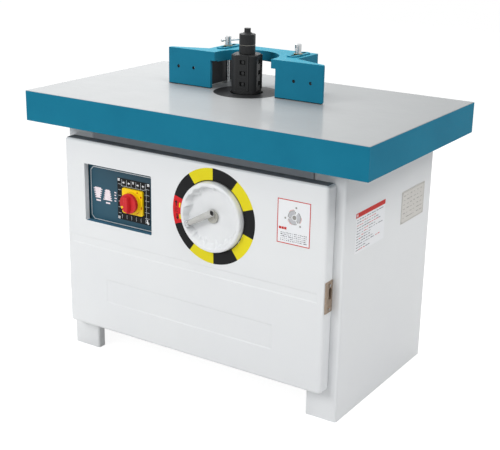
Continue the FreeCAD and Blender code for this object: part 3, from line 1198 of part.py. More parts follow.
for make in (make_table, make_cabinet, make_gland, make_side_plate, make_door, make_hinges, make_controls,
             make_frame_inside, make_wheel, make_handle, make_lift, make_carriage, make_motor, make_drive,
             make_spindle, make_fence, make_clamps):
    make()
doc.recompute()

for thing in doc.Objects:
    if "Invalid" in thing.State or "Error" in thing.State:
        raise RuntimeError("%s did not build: %s" % (thing.Label, thing.State))
os.makedirs("parts", exist_ok=True)
for thing in nodes:
    if thing.Shape.isNull() or not thing.Shape.isValid():
        raise RuntimeError("%s has no sound shape" % thing.Label)
    thing.Shape.exportStep("parts/%s.step" % thing.Label)
print("%d sub-parts written" % len(nodes))
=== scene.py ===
# Looks of the spindle moulder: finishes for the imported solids, printed signs, threads and wheel film.
import math
import bmesh
import bpy
from mathutils import Matrix, Vector, noise


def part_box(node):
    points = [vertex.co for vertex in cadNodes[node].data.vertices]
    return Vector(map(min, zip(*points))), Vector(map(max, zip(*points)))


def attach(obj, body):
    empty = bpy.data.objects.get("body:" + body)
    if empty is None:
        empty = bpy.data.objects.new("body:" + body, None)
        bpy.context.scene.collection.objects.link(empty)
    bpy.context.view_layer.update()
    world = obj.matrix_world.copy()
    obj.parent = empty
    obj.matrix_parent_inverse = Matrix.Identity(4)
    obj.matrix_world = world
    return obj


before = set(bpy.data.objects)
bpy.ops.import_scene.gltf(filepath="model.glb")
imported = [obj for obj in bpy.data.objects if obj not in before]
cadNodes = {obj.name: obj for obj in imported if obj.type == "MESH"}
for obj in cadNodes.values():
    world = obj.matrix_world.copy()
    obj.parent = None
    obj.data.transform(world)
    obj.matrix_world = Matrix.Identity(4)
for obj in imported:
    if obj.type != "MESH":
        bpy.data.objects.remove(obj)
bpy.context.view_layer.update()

mm = 0.001
scene = bpy.context.scene
print("frame loaded:", len(cadNodes), "nodes")

def addObject(name, data):
    made = bpy.data.objects.new(name, data)
    scene.collection.objects.link(made)
    return made

def boxOf(name):
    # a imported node's two corners in millimetres
    return [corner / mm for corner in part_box(name)]

# camera at the photograph's angle, image taken as 500 x 450
cameraSet = {
    "eye": (1.74855, -2.70647, 1.50115),
    "right": (0.8386992, 0.5442899, 0.0182255),
    "up": (-0.1855283, 0.2540971, 0.9492175),
    "back": (0.5120185, -0.7994893, 0.3140922),
    "lens": 75.773,
    "sensor": 36,
    "sight": 60,
}

def addCamera(values):
    data = bpy.data.cameras.new("photoCamera")
    data.sensor_width, data.lens, data.clip_end = values["sensor"], values["lens"], values["sight"]
    turned = Matrix((values["right"], values["up"], values["back"])).transposed().to_4x4()
    turned.translation = values["eye"]
    scene.camera = addObject("photoCamera", data)
    scene.camera.matrix_world = turned

addCamera(cameraSet)
scene.view_settings.view_transform = "Standard"

def shade(red, green, blue):
    # written as screen values, used as linear light
    def line(value):
        value /= 255
        return value / 12.92 if value <= 0.04045 else ((value + 0.055) / 1.055) ** 2.4
    return (line(red), line(green), line(blue), 1)

# small helpers for node trees; a socket knows the tree that it is in
def feed(value, socket):
    # an output is linked to the socket, a plain value is set on it
    if isinstance(value, bpy.types.NodeSocket):
        socket.id_data.links.new(value, socket)
    elif value is not None:
        socket.default_value = value

def addNode(tree, kind, inputs=None, **settings):
    made = tree.nodes.new(kind)
    for key, value in settings.items():
        setattr(made, key, value)
    for key, value in (inputs or {}).items():
        feed(value, made.inputs[key])
    return made

def mathNode(operation, first, second=None):
    return addNode(first.id_data, "ShaderNodeMath", {0: first, 1: second}, operation=operation).outputs[0]

def vectorNode(operation, first, second=None):
    return addNode(first.id_data, "ShaderNodeVectorMath", {0: first, 1: second}, operation=operation).outputs

def spanNode(value, low, high, toLow=0, toHigh=1):
    inputs = {"Value": value, "From Min": low, "From Max": high, "To Min": toLow, "To Max": toHigh}
    return addNode(value.id_data, "ShaderNodeMapRange", inputs, clamp=True).outputs["Result"]

def mixColour(factor, first, second):
    return addNode(factor.id_data, "ShaderNodeMix", {0: factor, 6: first, 7: second}, data_type="RGBA").outputs[2]

def mixValue(factor, first, second):
    return addNode(factor.id_data, "ShaderNodeMix", {0: factor, 2: first, 3: second}, data_type="FLOAT").outputs[0]

def noiseNode(vector, scale, detail=2, rough=0.5):
    inputs = {"Vector": vector, "Scale": scale, "Detail": detail, "Roughness": rough}
    return addNode(vector.id_data, "ShaderNodeTexNoise", inputs).outputs["Fac"]

def objectPoint(tree):
    return addNode(tree, "ShaderNodeTexCoord").outputs["Object"]

def axesOf(vector):
    return addNode(vector.id_data, "ShaderNodeSeparateXYZ", {0: vector}).outputs

socketKinds = {
    "colour": "NodeSocketColor", "value": "NodeSocketFloat", "vector": "NodeSocketVector",
    "whole": "NodeSocketInt", "material": "NodeSocketMaterial", "geometry": "NodeSocketGeometry",
}

def newTree(name, kind, inputs, outputs):
    tree = bpy.data.node_groups.new(name, kind)
    for label, socketKind, value in inputs:
        socket = tree.interface.new_socket(name=label, in_out="INPUT", socket_type=socketKinds[socketKind])
        if value is not None:
            socket.default_value = value
    for label, socketKind in outputs:
        tree.interface.new_socket(name=label, in_out="OUTPUT", socket_type=socketKinds[socketKind])
    return tree, addNode(tree, "NodeGroupInput").outputs, addNode(tree, "NodeGroupOutput").inputs

# finish groups: both surfaces give a colour, a roughness that follows the grain, and a height
surfaceOutputs = [("Colour", "colour"), ("Roughness", "value"), ("Height", "value")]

def closeSurface(given, out, colour, grain, spread, height):
    uneven = mathNode("MULTIPLY", mathNode("SUBTRACT", grain, 0.5), spread)
    feed(colour, out["Colour"])
    feed(mathNode("ADD", given["Roughness"], uneven), out["Roughness"])
    feed(height, out["Height"])

# paint: slow changes of tone, fine peel in the surface
skinSet = {"detail": 4, "breakup": 0.55, "low": 0.3, "high": 0.7, "roughSpread": 0.16}

def makePaintSkin(values):
    wanted = [("Colour", "colour", (0.8, 0.8, 0.8, 1)), ("Deeper", "colour", (0.7, 0.7, 0.7, 1)),
              ("Patch Scale", "value", 5), ("Peel Scale", "value", 420), ("Roughness", "value", 0.35)]
    tree, given, out = newTree("paintSkin", "ShaderNodeTree", wanted, surfaceOutputs)
    point = objectPoint(tree)
    patch = noiseNode(point, given["Patch Scale"], values["detail"], values["breakup"])
    patch = spanNode(patch, values["low"], values["high"])
    peel = noiseNode(point, given["Peel Scale"])
    colour = mixColour(patch, given["Colour"], given["Deeper"])
    closeSurface(given, out, colour, peel, values["roughSpread"], peel)
    return tree

# machined metal: streaks drawn out along one direction
groundSet = {
    "detail": 3, "breakup": 0.6, "streakShare": 0.65, "cloudScale": 7, "cloudShare": 0.35, "low": 0.3,
    "high": 0.7, "roughSpread": 0.25,
}

def makeGroundLines(values):
    wanted = [("Stretch", "vector", (40, 900, 900)), ("Light", "colour", (0.7, 0.7, 0.7, 1)),
              ("Dark", "colour", (0.5, 0.5, 0.5, 1)), ("Roughness", "value", 0.3)]
    tree, given, out = newTree("groundLines", "ShaderNodeTree", wanted, surfaceOutputs)
    point = objectPoint(tree)
    drawn = addNode(tree, "ShaderNodeMapping", {"Vector": point, "Scale": given["Stretch"]}).outputs["Vector"]
    streak = noiseNode(drawn, 1, values["detail"], values["breakup"])
    cloud = noiseNode(point, values["cloudScale"], values["detail"])
    both = mathNode("ADD", mathNode("MULTIPLY", streak, values["streakShare"]),
                    mathNode("MULTIPLY", cloud, values["cloudShare"]))
    colour = mixColour(spanNode(both, values["low"], values["high"]), given["Light"], given["Dark"])
    closeSurface(given, out, colour, both, values["roughSpread"], streak)
    return tree

# edge mask, for worn edges and for the painted highlight on the fence's rounded edges: found by comparing a rounded
# normal with the true one
edgeMaskSet = {"samples": 4, "flat": 0.99, "sharp": 0.86, "detail": 3, "low": 0.42, "high": 0.6}

def makeEdgeMask(values):
    wanted = [("Radius", "value", 0.002), ("Breakup", "value", 160)]
    tree, given, out = newTree("edgeMask", "ShaderNodeTree", wanted, [("Mask", "value")])
    soft = addNode(tree, "ShaderNodeBevel", {"Radius": given["Radius"]}, samples=values["samples"])
    true = addNode(tree, "ShaderNodeNewGeometry")
    match = vectorNode("DOT_PRODUCT", soft.outputs["Normal"], true.outputs["Normal"])["Value"]
    edge = spanNode(match, values["flat"], values["sharp"])
    grain = noiseNode(objectPoint(tree), given["Breakup"], values["detail"])
    broken = spanNode(grain, values["low"], values["high"])
    feed(mathNode("MULTIPLY", edge, broken), out["Mask"])
    return tree

paintSkin, groundLines, edgeMask = makePaintSkin(skinSet), makeGroundLines(groundSet), makeEdgeMask(edgeMaskSet)
print("finish groups made")

# materials: a surface group, its edge tone and painted top light, and perhaps a second colour under a mask
finishes = {}

def groupOn(tree, group, inputs):
    return addNode(tree, "ShaderNodeGroup", inputs, node_tree=group).outputs

def paintOn(tree, values):
    return groupOn(tree, paintSkin, {"Colour": shade(*values["colour"]), "Deeper": shade(*values["deeper"]),
                                     "Patch Scale": values["patch"], "Peel Scale": values["peel"],
                                     "Roughness": values["rough"]})

def linesOn(tree, values):
    return groupOn(tree, groundLines, {"Stretch": values["stretch"], "Light": shade(*values["light"]),
                                       "Dark": shade(*values["dark"]), "Roughness": values["rough"]})

def edgeAndTopTone(tree, colour, values):
    # edge tone (wear, and on the fence also painted highlight) and painted top light, where the values say so
    if "edgeTone" in values:
        mask = groupOn(tree, edgeMask, {"Radius": values["edge"]})["Mask"]
        part = mathNode("MULTIPLY", mask, values["edgeToneShare"])
        colour = mixColour(part, colour, shade(*values["edgeTone"]))
    # painted top light: faces that point upwards turn lighter
    if "paintedTopLight" in values:
        normal = addNode(tree, "ShaderNodeNewGeometry").outputs["Normal"]
        upward = spanNode(axesOf(normal)["Z"], *values["paintedTopLightFacing"], 0, values["paintedTopLightShare"])
        colour = mixColour(upward, colour, shade(*values["paintedTopLight"]))
    return colour

def newFinish(name):
    made = bpy.data.materials.new(name)
    made.use_nodes = True
    finishes[name] = made
    return made.node_tree

def closeFinish(tree, colour, surface, values, inputs):
    bump = {"Strength": values["bump"], "Distance": values["depth"], "Height": surface["Height"]}
    normal = addNode(tree, "ShaderNodeBump", bump).outputs["Normal"]
    told = {"Base Color": colour, "Roughness": surface["Roughness"], "Normal": normal,
            "Specular IOR Level": values["mirror"], **inputs}
    for name, value in told.items():
        feed(value, tree.nodes["Principled BSDF"].inputs[name])

def makeFinish(name, values, maskOf=None):
    tree = newFinish(name)
    surface = values["surface"](tree, values)
    colour, metal = edgeAndTopTone(tree, surface["Colour"], values), values["metal"]
    if maskOf:
        mask = maskOf(tree, values)
        colour = mixColour(mask, colour, shade(*values["spot"]))
        if "spotMetal" in values:
            metal = mixValue(mask, metal, values["spotMetal"])
    closeFinish(tree, colour, surface, values, {"Metallic": metal})

# what paints, metals, signs and the ring's colours have in common
paintBase = {"surface": paintOn, "depth": 0.0004, "metal": 0, "mirror": 0.3}
metalBase = {"surface": linesOn, "depth": 0.0003, "metal": 1, "mirror": 0.5}
signBase = {"peel": 700, "rough": 0.4, "bump": 0.04}
ringBase = {"patch": 12, "peel": 600, "rough": 0.48, "bump": 0.05, "mirror": 0.15}

paintSet = {
    "whitePaint": {"colour": (229, 231, 232), "deeper": (226, 228, 230), "patch": 3, "peel": 520,
                   "rough": 0.4, "bump": 0.07, "mirror": 0.35},
    "sillPaint": {"colour": (66, 112, 138), "deeper": (60, 105, 130), "patch": 14, "peel": 420,
                  "rough": 0.5, "bump": 0.08, "mirror": 0.15},
    "railPaint": {"colour": (186, 191, 196), "deeper": (178, 183, 189), "patch": 6, "peel": 420,
                  "rough": 0.5, "bump": 0.1, "mirror": 0.2},
    "greyCasting": {"colour": (128, 133, 136), "deeper": (108, 113, 117), "patch": 14, "peel": 130,
                    "rough": 0.55, "bump": 0.35, "edgeTone": (170, 172, 172), "edgeToneShare": 0.5, "edge": 0.002},
    "blackPlastic": {"colour": (30, 31, 32), "deeper": (25, 26, 27), "patch": 30, "peel": 900,
                     "rough": 0.45, "bump": 0.1, "mirror": 0.12},
    "yellowPlastic": {"colour": (251, 214, 20), "deeper": (246, 205, 16), "patch": 25, "peel": 900,
                      "rough": 0.36, "bump": 0.05, "mirror": 0.25},
    "redPlastic": {"colour": (212, 48, 52), "deeper": (198, 40, 45), "patch": 30, "peel": 800,
                   "rough": 0.36, "bump": 0.06, "mirror": 0.22},
    "beltRubber": {"colour": (34, 34, 35), "deeper": (26, 26, 27), "patch": 30, "peel": 260,
                   "rough": 0.75, "bump": 0.4},
    # grey for the strip on the door's top edge: painted shade for the gap's shadow
    "shadeStripGrey": {"colour": (120, 124, 128), "deeper": (106, 110, 114), "patch": 30, "peel": 260,
                   "rough": 0.7, "bump": 0.3, "mirror": 0.15},
    "filmSkin": {"colour": (230, 232, 233), "deeper": (224, 226, 228), "patch": 16, "peel": 260,
                 "rough": 0.34, "bump": 0.08, "mirror": 0.45},
    "signWhite": {**signBase, "colour": (238, 239, 241), "deeper": (233, 235, 238), "patch": 12, "rough": 0.35},
    "signRed": {**signBase, "colour": (204, 44, 38), "deeper": (194, 38, 33), "patch": 30, "mirror": 0.08},
    "signGrey": {**signBase, "colour": (196, 197, 201), "deeper": (182, 183, 188), "patch": 60},
    "signInk": {**signBase, "colour": (92, 92, 104), "deeper": (74, 74, 86), "patch": 90},
    "signFaint": {**signBase, "colour": (160, 158, 154), "deeper": (140, 139, 135), "patch": 90, "rough": 0.45},
    "signLine": {**signBase, "colour": (214, 220, 224), "deeper": (196, 203, 208), "patch": 40},
    "signPink": {**signBase, "colour": (244, 235, 239), "deeper": (234, 218, 225), "patch": 90},
    "ringBlack": {**ringBase, "colour": (33, 33, 34), "deeper": (29, 29, 30), "rough": 0.5, "mirror": 0.1},
    "ringYellow": {**ringBase, "colour": (230, 217, 34), "deeper": (225, 210, 30)},
    "ringRed": {**ringBase, "colour": (214, 38, 44), "deeper": (206, 32, 39)},
}
metalSet = {
    "blackSteel": {"light": (38, 39, 40), "dark": (27, 28, 29), "stretch": (160, 160, 900), "rough": 0.44,
                   "metal": 0, "mirror": 0.22, "bump": 0.1, "edgeTone": (104, 106, 108), "edgeToneShare": 0.5,
                   "edge": 0.0012},
    "darkSteel": {"light": (50, 51, 52), "dark": (37, 38, 39), "stretch": (160, 160, 900), "rough": 0.4,
                  "metal": 0.3, "mirror": 0.3, "bump": 0.1},
    "steel": {"light": (205, 207, 208), "dark": (176, 179, 181), "stretch": (300, 300, 60), "rough": 0.28,
              "bump": 0.12},
    "bossMetal": {"light": (186, 184, 175), "dark": (168, 166, 157), "stretch": (240, 240, 240),
                  "rough": 0.45, "metal": 0.2, "bump": 0.1},
    "bronze": {"light": (196, 150, 86), "dark": (164, 120, 64), "stretch": (240, 240, 700), "rough": 0.38,
               "bump": 0.15},
    "latchMetal": {"light": (176, 158, 140), "dark": (140, 122, 106), "stretch": (200, 200, 40), "rough": 0.4,
                   "metal": 0.6, "bump": 0.15, "edgeTone": (214, 208, 198), "edgeToneShare": 0.7, "edge": 0.001},
    "plateAluminium": {"light": (206, 204, 199), "dark": (192, 189, 184), "stretch": (700, 40, 700),
                       "rough": 0.42, "metal": 0.35, "bump": 0.08},
}
for base, table in ((paintBase, paintSet), (metalBase, metalSet)):
    for finishName, finishValues in table.items():
        makeFinish(finishName, {**base, **finishValues})

# the machine's blue, on the table's rim and on the fence; its lighter edge tone is wear and, on the fence, also a
# painted highlight along the rounded edges
bluePaint = {
    **paintBase, "colour": (26, 118, 146), "deeper": (22, 110, 138), "patch": 6, "peel": 300, "rough": 0.5,
    "bump": 0.12, "mirror": 0.09, "edgeTone": (50, 144, 170), "edgeToneShare": 0.6, "edge": 0.0018,
}

# table: painted rim, ground top and edge bevel in one finish; the ground top gets painted shade towards the back
# right
tableSet = {
    **metalBase, "light": (175, 177, 178), "dark": (166, 168, 169), "stretch": (18, 620, 1), "rough": 0.34,
    "metal": 0.05, "mirror": 0.05, "bump": 0.1, "coat": 0.34, "coatRough": 0.1, "bevelLow": 0.8546,
    "bevelEnd": 0.8549, "paintedShadeTone": (136, 139, 140), "paintedShadeFrom": -0.2, "paintedShadeTo": 0.7, "paintedShadeSlant": 0.6,
}

def makeTableFinish(values):
    tree = newFinish("tableFinish")
    point = axesOf(objectPoint(tree))
    top = spanNode(point["Z"], values["bevelLow"], values["bevelEnd"])
    paint, lines = paintOn(tree, bluePaint), linesOn(tree, values)
    # painted shade: the ground top darkens towards the back right, in place of light that falls off there
    slanted = mathNode("MULTIPLY", point["Y"], values["paintedShadeSlant"])
    topShade = spanNode(mathNode("ADD", point["X"], slanted), values["paintedShadeFrom"], values["paintedShadeTo"])
    ground = mixColour(topShade, lines["Colour"], shade(*values["paintedShadeTone"]))
    surface = {part: mixValue(top, paint[part], lines[part]) for part in ("Roughness", "Height")}
    closeFinish(tree, mixColour(top, paint["Colour"], ground), surface, values,
                {"Metallic": mathNode("MULTIPLY", top, values["metal"]),
                 "Coat Weight": mathNode("MULTIPLY", top, values["coat"]),
                 "Coat Roughness": values["coatRough"]})

makeTableFinish(tableSet)

# control panel: printed blue, with painted shade darkening it towards its upper right
panelSet = {
    **paintBase, "colour": (52, 94, 113), "deeper": (49, 89, 108), "patch": 14, "peel": 800, "rough": 0.34,
    "bump": 0.05, "depth": 0.0003, "mirror": 0.15, "spot": (50, 70, 82), "from": (-0.40, 0.44),
    "to": (-0.13, 0.655),
}

# painted shade: how far towards the panel's upper right a point lies
def panelPaintedShade(tree, values):
    point = axesOf(objectPoint(tree))
    across = spanNode(point["X"], values["from"][0], values["to"][0])
    upward = spanNode(point["Z"], values["from"][1], values["to"][1])
    return mathNode("MULTIPLY", mathNode("ADD", across, upward), 0.5)

makeFinish("panelBlue", panelSet, panelPaintedShade)

# handwheel: light paint, with a bare beige boss end
wheelSet = {
    **paintBase, "colour": (226, 228, 229), "deeper": (216, 219, 221), "patch": 18, "peel": 420, "rough": 0.34,
    "bump": 0.1, "mirror": 0.5, "spot": (184, 183, 174), "centre": (0.091, 0.563), "boss": 0.0184,
}

def nearAxis(point, centre, reach):
    # tells what lies close to an axis that runs from front to back
    across = mathNode("SUBTRACT", point["X"], centre[0])
    upward = mathNode("SUBTRACT", point["Z"], centre[1])
    square = mathNode("ADD", mathNode("MULTIPLY", across, across),
                      mathNode("MULTIPLY", upward, upward))
    return mathNode("LESS_THAN", mathNode("SQRT", square), reach)

def bossEnd(tree, values):
    return nearAxis(axesOf(objectPoint(tree)), values["centre"], values["boss"])

makeFinish("wheelFinish", wheelSet, bossEnd)

# handle stem: bright at the fork, its screw deep in the grip's end painted dark as painted shade in the recess
stemSet = {
    **metalBase, **metalSet["steel"], "metal": 0.9, "spot": (20, 20, 21), "spotMetal": 0, "darkFrom": 0.07,
    "darkTo": 0.072,
}

def stemEndPaintedShade(tree, values):
    return spanNode(axesOf(objectPoint(tree))["X"], values["darkFrom"], values["darkTo"])

makeFinish("stemFinish", stemSet, stemEndPaintedShade)

# grip: light plastic, with painted shade inside the recess of its end
gripSet = {
    **paintBase, "colour": (187, 187, 183), "deeper": (177, 177, 173), "patch": 40, "peel": 700, "rough": 0.2,
    "bump": 0.05, "mirror": 0.95, "spot": (112, 112, 111), "pivot": (0.011, -0.336, 0.531), "turn": 29,
    "recess": 0.0083, "from": 0.086,
}

def gripRecessPaintedShade(tree, values):
    turn = math.radians(values["turn"])
    axis = math.cos(turn), 0, math.sin(turn)
    away = vectorNode("SUBTRACT", objectPoint(tree), values["pivot"])["Vector"]
    off = vectorNode("LENGTH", vectorNode("CROSS_PRODUCT", away, axis)["Vector"])["Value"]
    along = vectorNode("DOT_PRODUCT", away, axis)["Value"]
    return mathNode("MULTIPLY", mathNode("LESS_THAN", off, values["recess"]),
                    mathNode("GREATER_THAN", along, values["from"]))

makeFinish("gripFinish", gripSet, gripRecessPaintedShade)

# clamp screws: bright steel with a yellow plated washer
clampSet = {**metalBase, **metalSet["steel"], "spot": (152, 144, 114), "washerLow": 0.9778, "washerHigh": 0.98065}

def between(value, low, high):
    return mathNode("MULTIPLY", mathNode("GREATER_THAN", value, low),
                    mathNode("LESS_THAN", value, high))

def clampWasher(tree, values):
    return between(axesOf(objectPoint(tree))["Z"], values["washerLow"], values["washerHigh"])

makeFinish("clampFinish", clampSet, clampWasher)

# fence: blue paint, with painted light on its upward faces and painted shade in the clamp slots, the holes and the
# relief at its foot
fenceSet = {
    **bluePaint, "paintedTopLight": (46, 152, 172), "paintedTopLightShare": 0.55, "paintedTopLightFacing": (0.5, 1), "spot": (20, 23, 25),
    "slotHalf": 0.0067, "slotFront": 0.1025, "slotBack": 0.187, "reliefTop": 0.85895, "holesAt": (0.187, 0.246),
    "holeHeight": 0.059, "holeReach": 0.0052,
}

def fencePaintedShade(tree, values):
    point = axesOf(objectPoint(tree))
    # painted shade: below the relief's top, in the clamp slots and round the holes
    dark = mathNode("LESS_THAN", point["Z"], values["reliefTop"])
    along = between(point["Y"], values["slotFront"], values["slotBack"])
    for name in ("left_clamp_screw", "right_clamp_screw"):
        low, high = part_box(name)
        aside = mathNode("ABSOLUTE", mathNode("SUBTRACT", point["X"], (low.x + high.x) / 2))
        near = mathNode("LESS_THAN", aside, values["slotHalf"])
        dark = mathNode("MAXIMUM", dark, mathNode("MULTIPLY", near, along))
    low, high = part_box("fence_casting")
    for place in [side * away for side in (-1, 1) for away in values["holesAt"]]:
        hole = (low.x + high.x) / 2 + place, low.z + values["holeHeight"]
        dark = mathNode("MAXIMUM", dark, nearAxis(point, hole, values["holeReach"]))
    return dark

makeFinish("fenceFinish", fenceSet, fencePaintedShade)

# inner shields: dark paint with a bare lower edge
shieldSet = {
    **paintBase, "colour": (40, 43, 47), "deeper": (33, 36, 40), "patch": 18, "peel": 420, "rough": 0.5,
    "bump": 0.12, "mirror": 0.2, "spot": (178, 180, 178), "bareTop": 0.8605,
}

def shieldFoot(tree, values):
    return mathNode("LESS_THAN", axesOf(objectPoint(tree))["Z"], values["bareTop"])

makeFinish("shieldFinish", shieldSet, shieldFoot)

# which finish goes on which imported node
nodeFinish = {
    "tableFinish": ["table"],
    "blackSteel": ["table_ring", "spindle_shaft", "cutter_block", "spacing_collars", "draw_bolt"],
    "whitePaint": ["left_side_panel", "right_side_panel", "back_panel", "floor_tray", "door",
                   "cabinet_hinges", "door_hinges", "switch_box"],
    "railPaint": ["door_catch", "front_post", "front_rail"],
    "fenceFinish": ["fence_casting"],
    "shieldFinish": ["fence_shields"],
    "greyCasting": ["slide_column", "gear_bracket", "carriage", "motor_plate", "motor_housing", "fan_cover",
                    "terminal_box", "spindle_pulley", "motor_pulley", "screw_bearing"],
    "steel": ["table_bolts", "small_screws", "wheel_shaft", "drive_gear", "driven_gear", "lift_screw",
              "handle_fork", "motor_shaft", "left_clamp_bar", "right_clamp_bar"],
    "darkSteel": ["cutter_knives"],
    "stemFinish": ["handle_stem"],
    "bossMetal": ["hub_screw"],
    "clampFinish": ["left_clamp_screw", "right_clamp_screw"],
    "bronze": ["lift_nut", "shaft_bearing", "spindle_bearings"],
    "beltRubber": ["drive_belt"],
    "panelBlue": ["control_panel"],
    "blackPlastic": ["legend_plate", "switch_body", "cable_gland"],
    "yellowPlastic": ["switch_plate"],
    "redPlastic": ["switch_knob"],
    "gripFinish": ["handle_grip"],
    "latchMetal": ["edge_pull"],
    "plateAluminium": ["blank_plate"],
    "wheelFinish": ["handwheel"],
}

def dressNodes(table):
    dressed = set()
    for finish, names in table.items():
        for name in names:
            slots = cadNodes[name].data.materials
            slots.clear()
            slots.append(finishes[finish])
            dressed.add(name)
    bare = set(cadNodes) - dressed
    if bare:
        raise RuntimeError("nodes without a finish: " + ", ".join(sorted(bare)))
    print("finishes on", len(dressed), "nodes")

dressNodes(nodeFinish)

def addPiece(name, mesh, body, finish=None):
    made = addObject(name, mesh)
    if finish:
        mesh.materials.append(finishes[finish])
    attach(made, body)
    return made

# flat outlines in millimetres: a list of points and a list of faces
def polar(centre, radius, angle):
    turn = math.radians(angle)
    return centre[0] + radius * math.cos(turn), centre[1] + radius * math.sin(turn)

def turned(points, origin, angle):
    c, s = math.cos(math.radians(angle)), math.sin(math.radians(angle))
    return [(origin[0] + u * c - v * s, origin[1] + u * s + v * c) for u, v in points]

def arc(centre, radius, start, end, steps):
    return [polar(centre, radius, start + (end - start) * n / steps) for n in range(steps + 1)]

def circle(centre, radius, steps):
    return arc(centre, radius, 0, 360, steps)[:-1]

def outline(points):
    return points, [list(range(len(points)))]

def bar(left, low, right, high):
    return outline([(left, low), (right, low), (right, high), (left, high)])

def disc(centre, radius, steps):
    return outline(circle(centre, radius, steps))

def band(outer, inner):
    count = len(outer)
    faces = [[n, (n + 1) % count, count + (n + 1) % count, count + n] for n in range(count)]
    return list(outer) + list(inner), faces

def borderBand(left, low, right, high, width):
    outer = bar(left, low, right, high)[0]
    return band(outer, bar(left + width, low + width, right - width, high - width)[0])

def hoop(centre, inner, outer, steps):
    return band(circle(centre, outer, steps), circle(centre, inner, steps))

def sector(centre, inner, outer, start, end, steps):
    faces = [[n, n + 1, steps + 2 + n, steps + 1 + n] for n in range(steps)]
    return arc(centre, outer, start, end, steps) + arc(centre, inner, start, end, steps), faces

def arrow(tail, angle, length, width):
    neck, shaft, head = length * 0.55, width / 6, width / 2
    shape = [(0, -shaft), (neck, -shaft), (neck, -head), (length, 0), (neck, head), (neck, shaft), (0, shaft)]
    return turned(shape, tail, angle), [[0, 1, 5, 6], [1, 2, 3, 4, 5]]

def insetLoop(points, depth):
    # every side of a loop that runs anticlockwise moves inwards by the same depth
    count, moved = len(points), []
    for n in range(count):
        before, here, after = (Vector(points[(n + k) % count]) for k in (-1, 0, 1))
        first, second = (here - before).normalized(), (after - here).normalized()
        normals = Vector((-first.y, first.x)), Vector((-second.y, second.x))
        middle = (normals[0] + normals[1]).normalized()
        moved.append(tuple(here + middle * (depth / middle.dot(normals[0]))))
    return moved

# where a flat outline lies: u and v along the face, w away from it
def onFront(faceY):
    return lambda u, v, w: (u * mm, (faceY - w) * mm, v * mm)

def onRight(faceX):
    return lambda u, v, w: ((faceX + w) * mm, u * mm, v * mm)

def onTop(faceZ):
    return lambda u, v, w: (u * mm, v * mm, (faceZ + w) * mm)

def addRaised(name, flats, carry, thick, body, slotName, finish, base=0):
    # flat outlines become thin closed solids on their face
    made = bmesh.new()
    for points, faces in flats:
        low = [made.verts.new(carry(u, v, base)) for u, v in points]
        high = [made.verts.new(carry(u, v, base + thick)) for u, v in points]
        sides = set()
        for face in faces:
            made.faces.new([high[n] for n in face])
            made.faces.new([low[n] for n in reversed(face)])
            sides.update(zip(face, face[1:] + face[:1]))
        for a, b in sides:
            if (b, a) not in sides:
                made.faces.new([low[a], low[b], high[b], high[a]])
    bmesh.ops.recalc_face_normals(made, faces=made.faces)
    mesh = bpy.data.meshes.new(name)
    made.to_mesh(mesh)
    made.free()
    addPiece(name, mesh, body, finish)

# geometry nodes: every tree ends in plain mesh with its material
def closeTree(tree, given, out, geometry):
    real = addNode(tree, "GeometryNodeRealizeInstances", {"Geometry": geometry}).outputs["Geometry"]
    coloured = addNode(tree, "GeometryNodeSetMaterial", {"Geometry": real, "Material": given["Material"]})
    feed(coloured.outputs["Geometry"], out["Geometry"])

# bars in a row, with lengths that may differ
def makeBarRow():
    wanted = [("Geometry", "geometry", None), ("Count", "whole", 5), ("Start", "vector", (0, 0, 0)),
              ("Step", "vector", (0.01, 0, 0)), ("Bar Size", "vector", (0.001, 0.001, 0.01)),
              ("Shortest", "vector", (1, 1, 1)), ("Seed", "whole", 1), ("Material", "material", None)]
    tree, given, out = newTree("barRow", "GeometryNodeTree", wanted, [("Geometry", "geometry")])
    line = addNode(tree, "GeometryNodeMeshLine", {"Count": given["Count"], "Start Location": given["Start"],
                                                  "Offset": given["Step"]}, mode="OFFSET")
    cube = addNode(tree, "GeometryNodeMeshCube", {"Size": given["Bar Size"]})
    half = addNode(tree, "ShaderNodeVectorMath", {0: given["Bar Size"], "Scale": 0.5}, operation="SCALE")
    shifted = addNode(tree, "GeometryNodeTransform", {"Geometry": cube.outputs["Mesh"],
                                                      "Translation": half.outputs[0]})
    lengths = addNode(tree, "FunctionNodeRandomValue", {0: given["Shortest"], 1: (1, 1, 1), "Seed": given["Seed"]},
                      data_type="FLOAT_VECTOR")
    placed = addNode(tree, "GeometryNodeInstanceOnPoints",
                     {"Points": line.outputs["Mesh"], "Instance": shifted.outputs["Geometry"],
                      "Scale": lengths.outputs[0]})
    closeTree(tree, given, out, placed.outputs["Instances"])
    return tree

# a thread wound round an upright rod
windSet = {"turnPoints": 20, "ridgePoints": 5}

def makeThreadRidge(values):
    wanted = [("Geometry", "geometry", None), ("Radius", "value", 0.005), ("Length", "value", 0.1),
              ("Turns", "value", 20), ("Ridge", "value", 0.0005), ("Foot", "vector", (0, 0, 0)),
              ("Material", "material", None)]
    tree, given, out = newTree("threadRidge", "GeometryNodeTree", wanted, [("Geometry", "geometry")])
    spiral = addNode(tree, "GeometryNodeCurveSpiral",
                     {"Resolution": values["turnPoints"], "Rotations": given["Turns"], "Height": given["Length"],
                      "Start Radius": given["Radius"], "End Radius": given["Radius"]})
    profile = addNode(tree, "GeometryNodeCurvePrimitiveCircle",
                      {"Resolution": values["ridgePoints"], "Radius": given["Ridge"]})
    wound = addNode(tree, "GeometryNodeCurveToMesh",
                    {"Fill Caps": True, "Curve": spiral.outputs["Curve"], "Profile Curve": profile.outputs["Curve"]})
    moved = addNode(tree, "GeometryNodeTransform", {"Geometry": wound.outputs["Mesh"], "Translation": given["Foot"]})
    closeTree(tree, given, out, moved.outputs["Geometry"])
    return tree

barRow, threadRidge = makeBarRow(), makeThreadRidge(windSet)

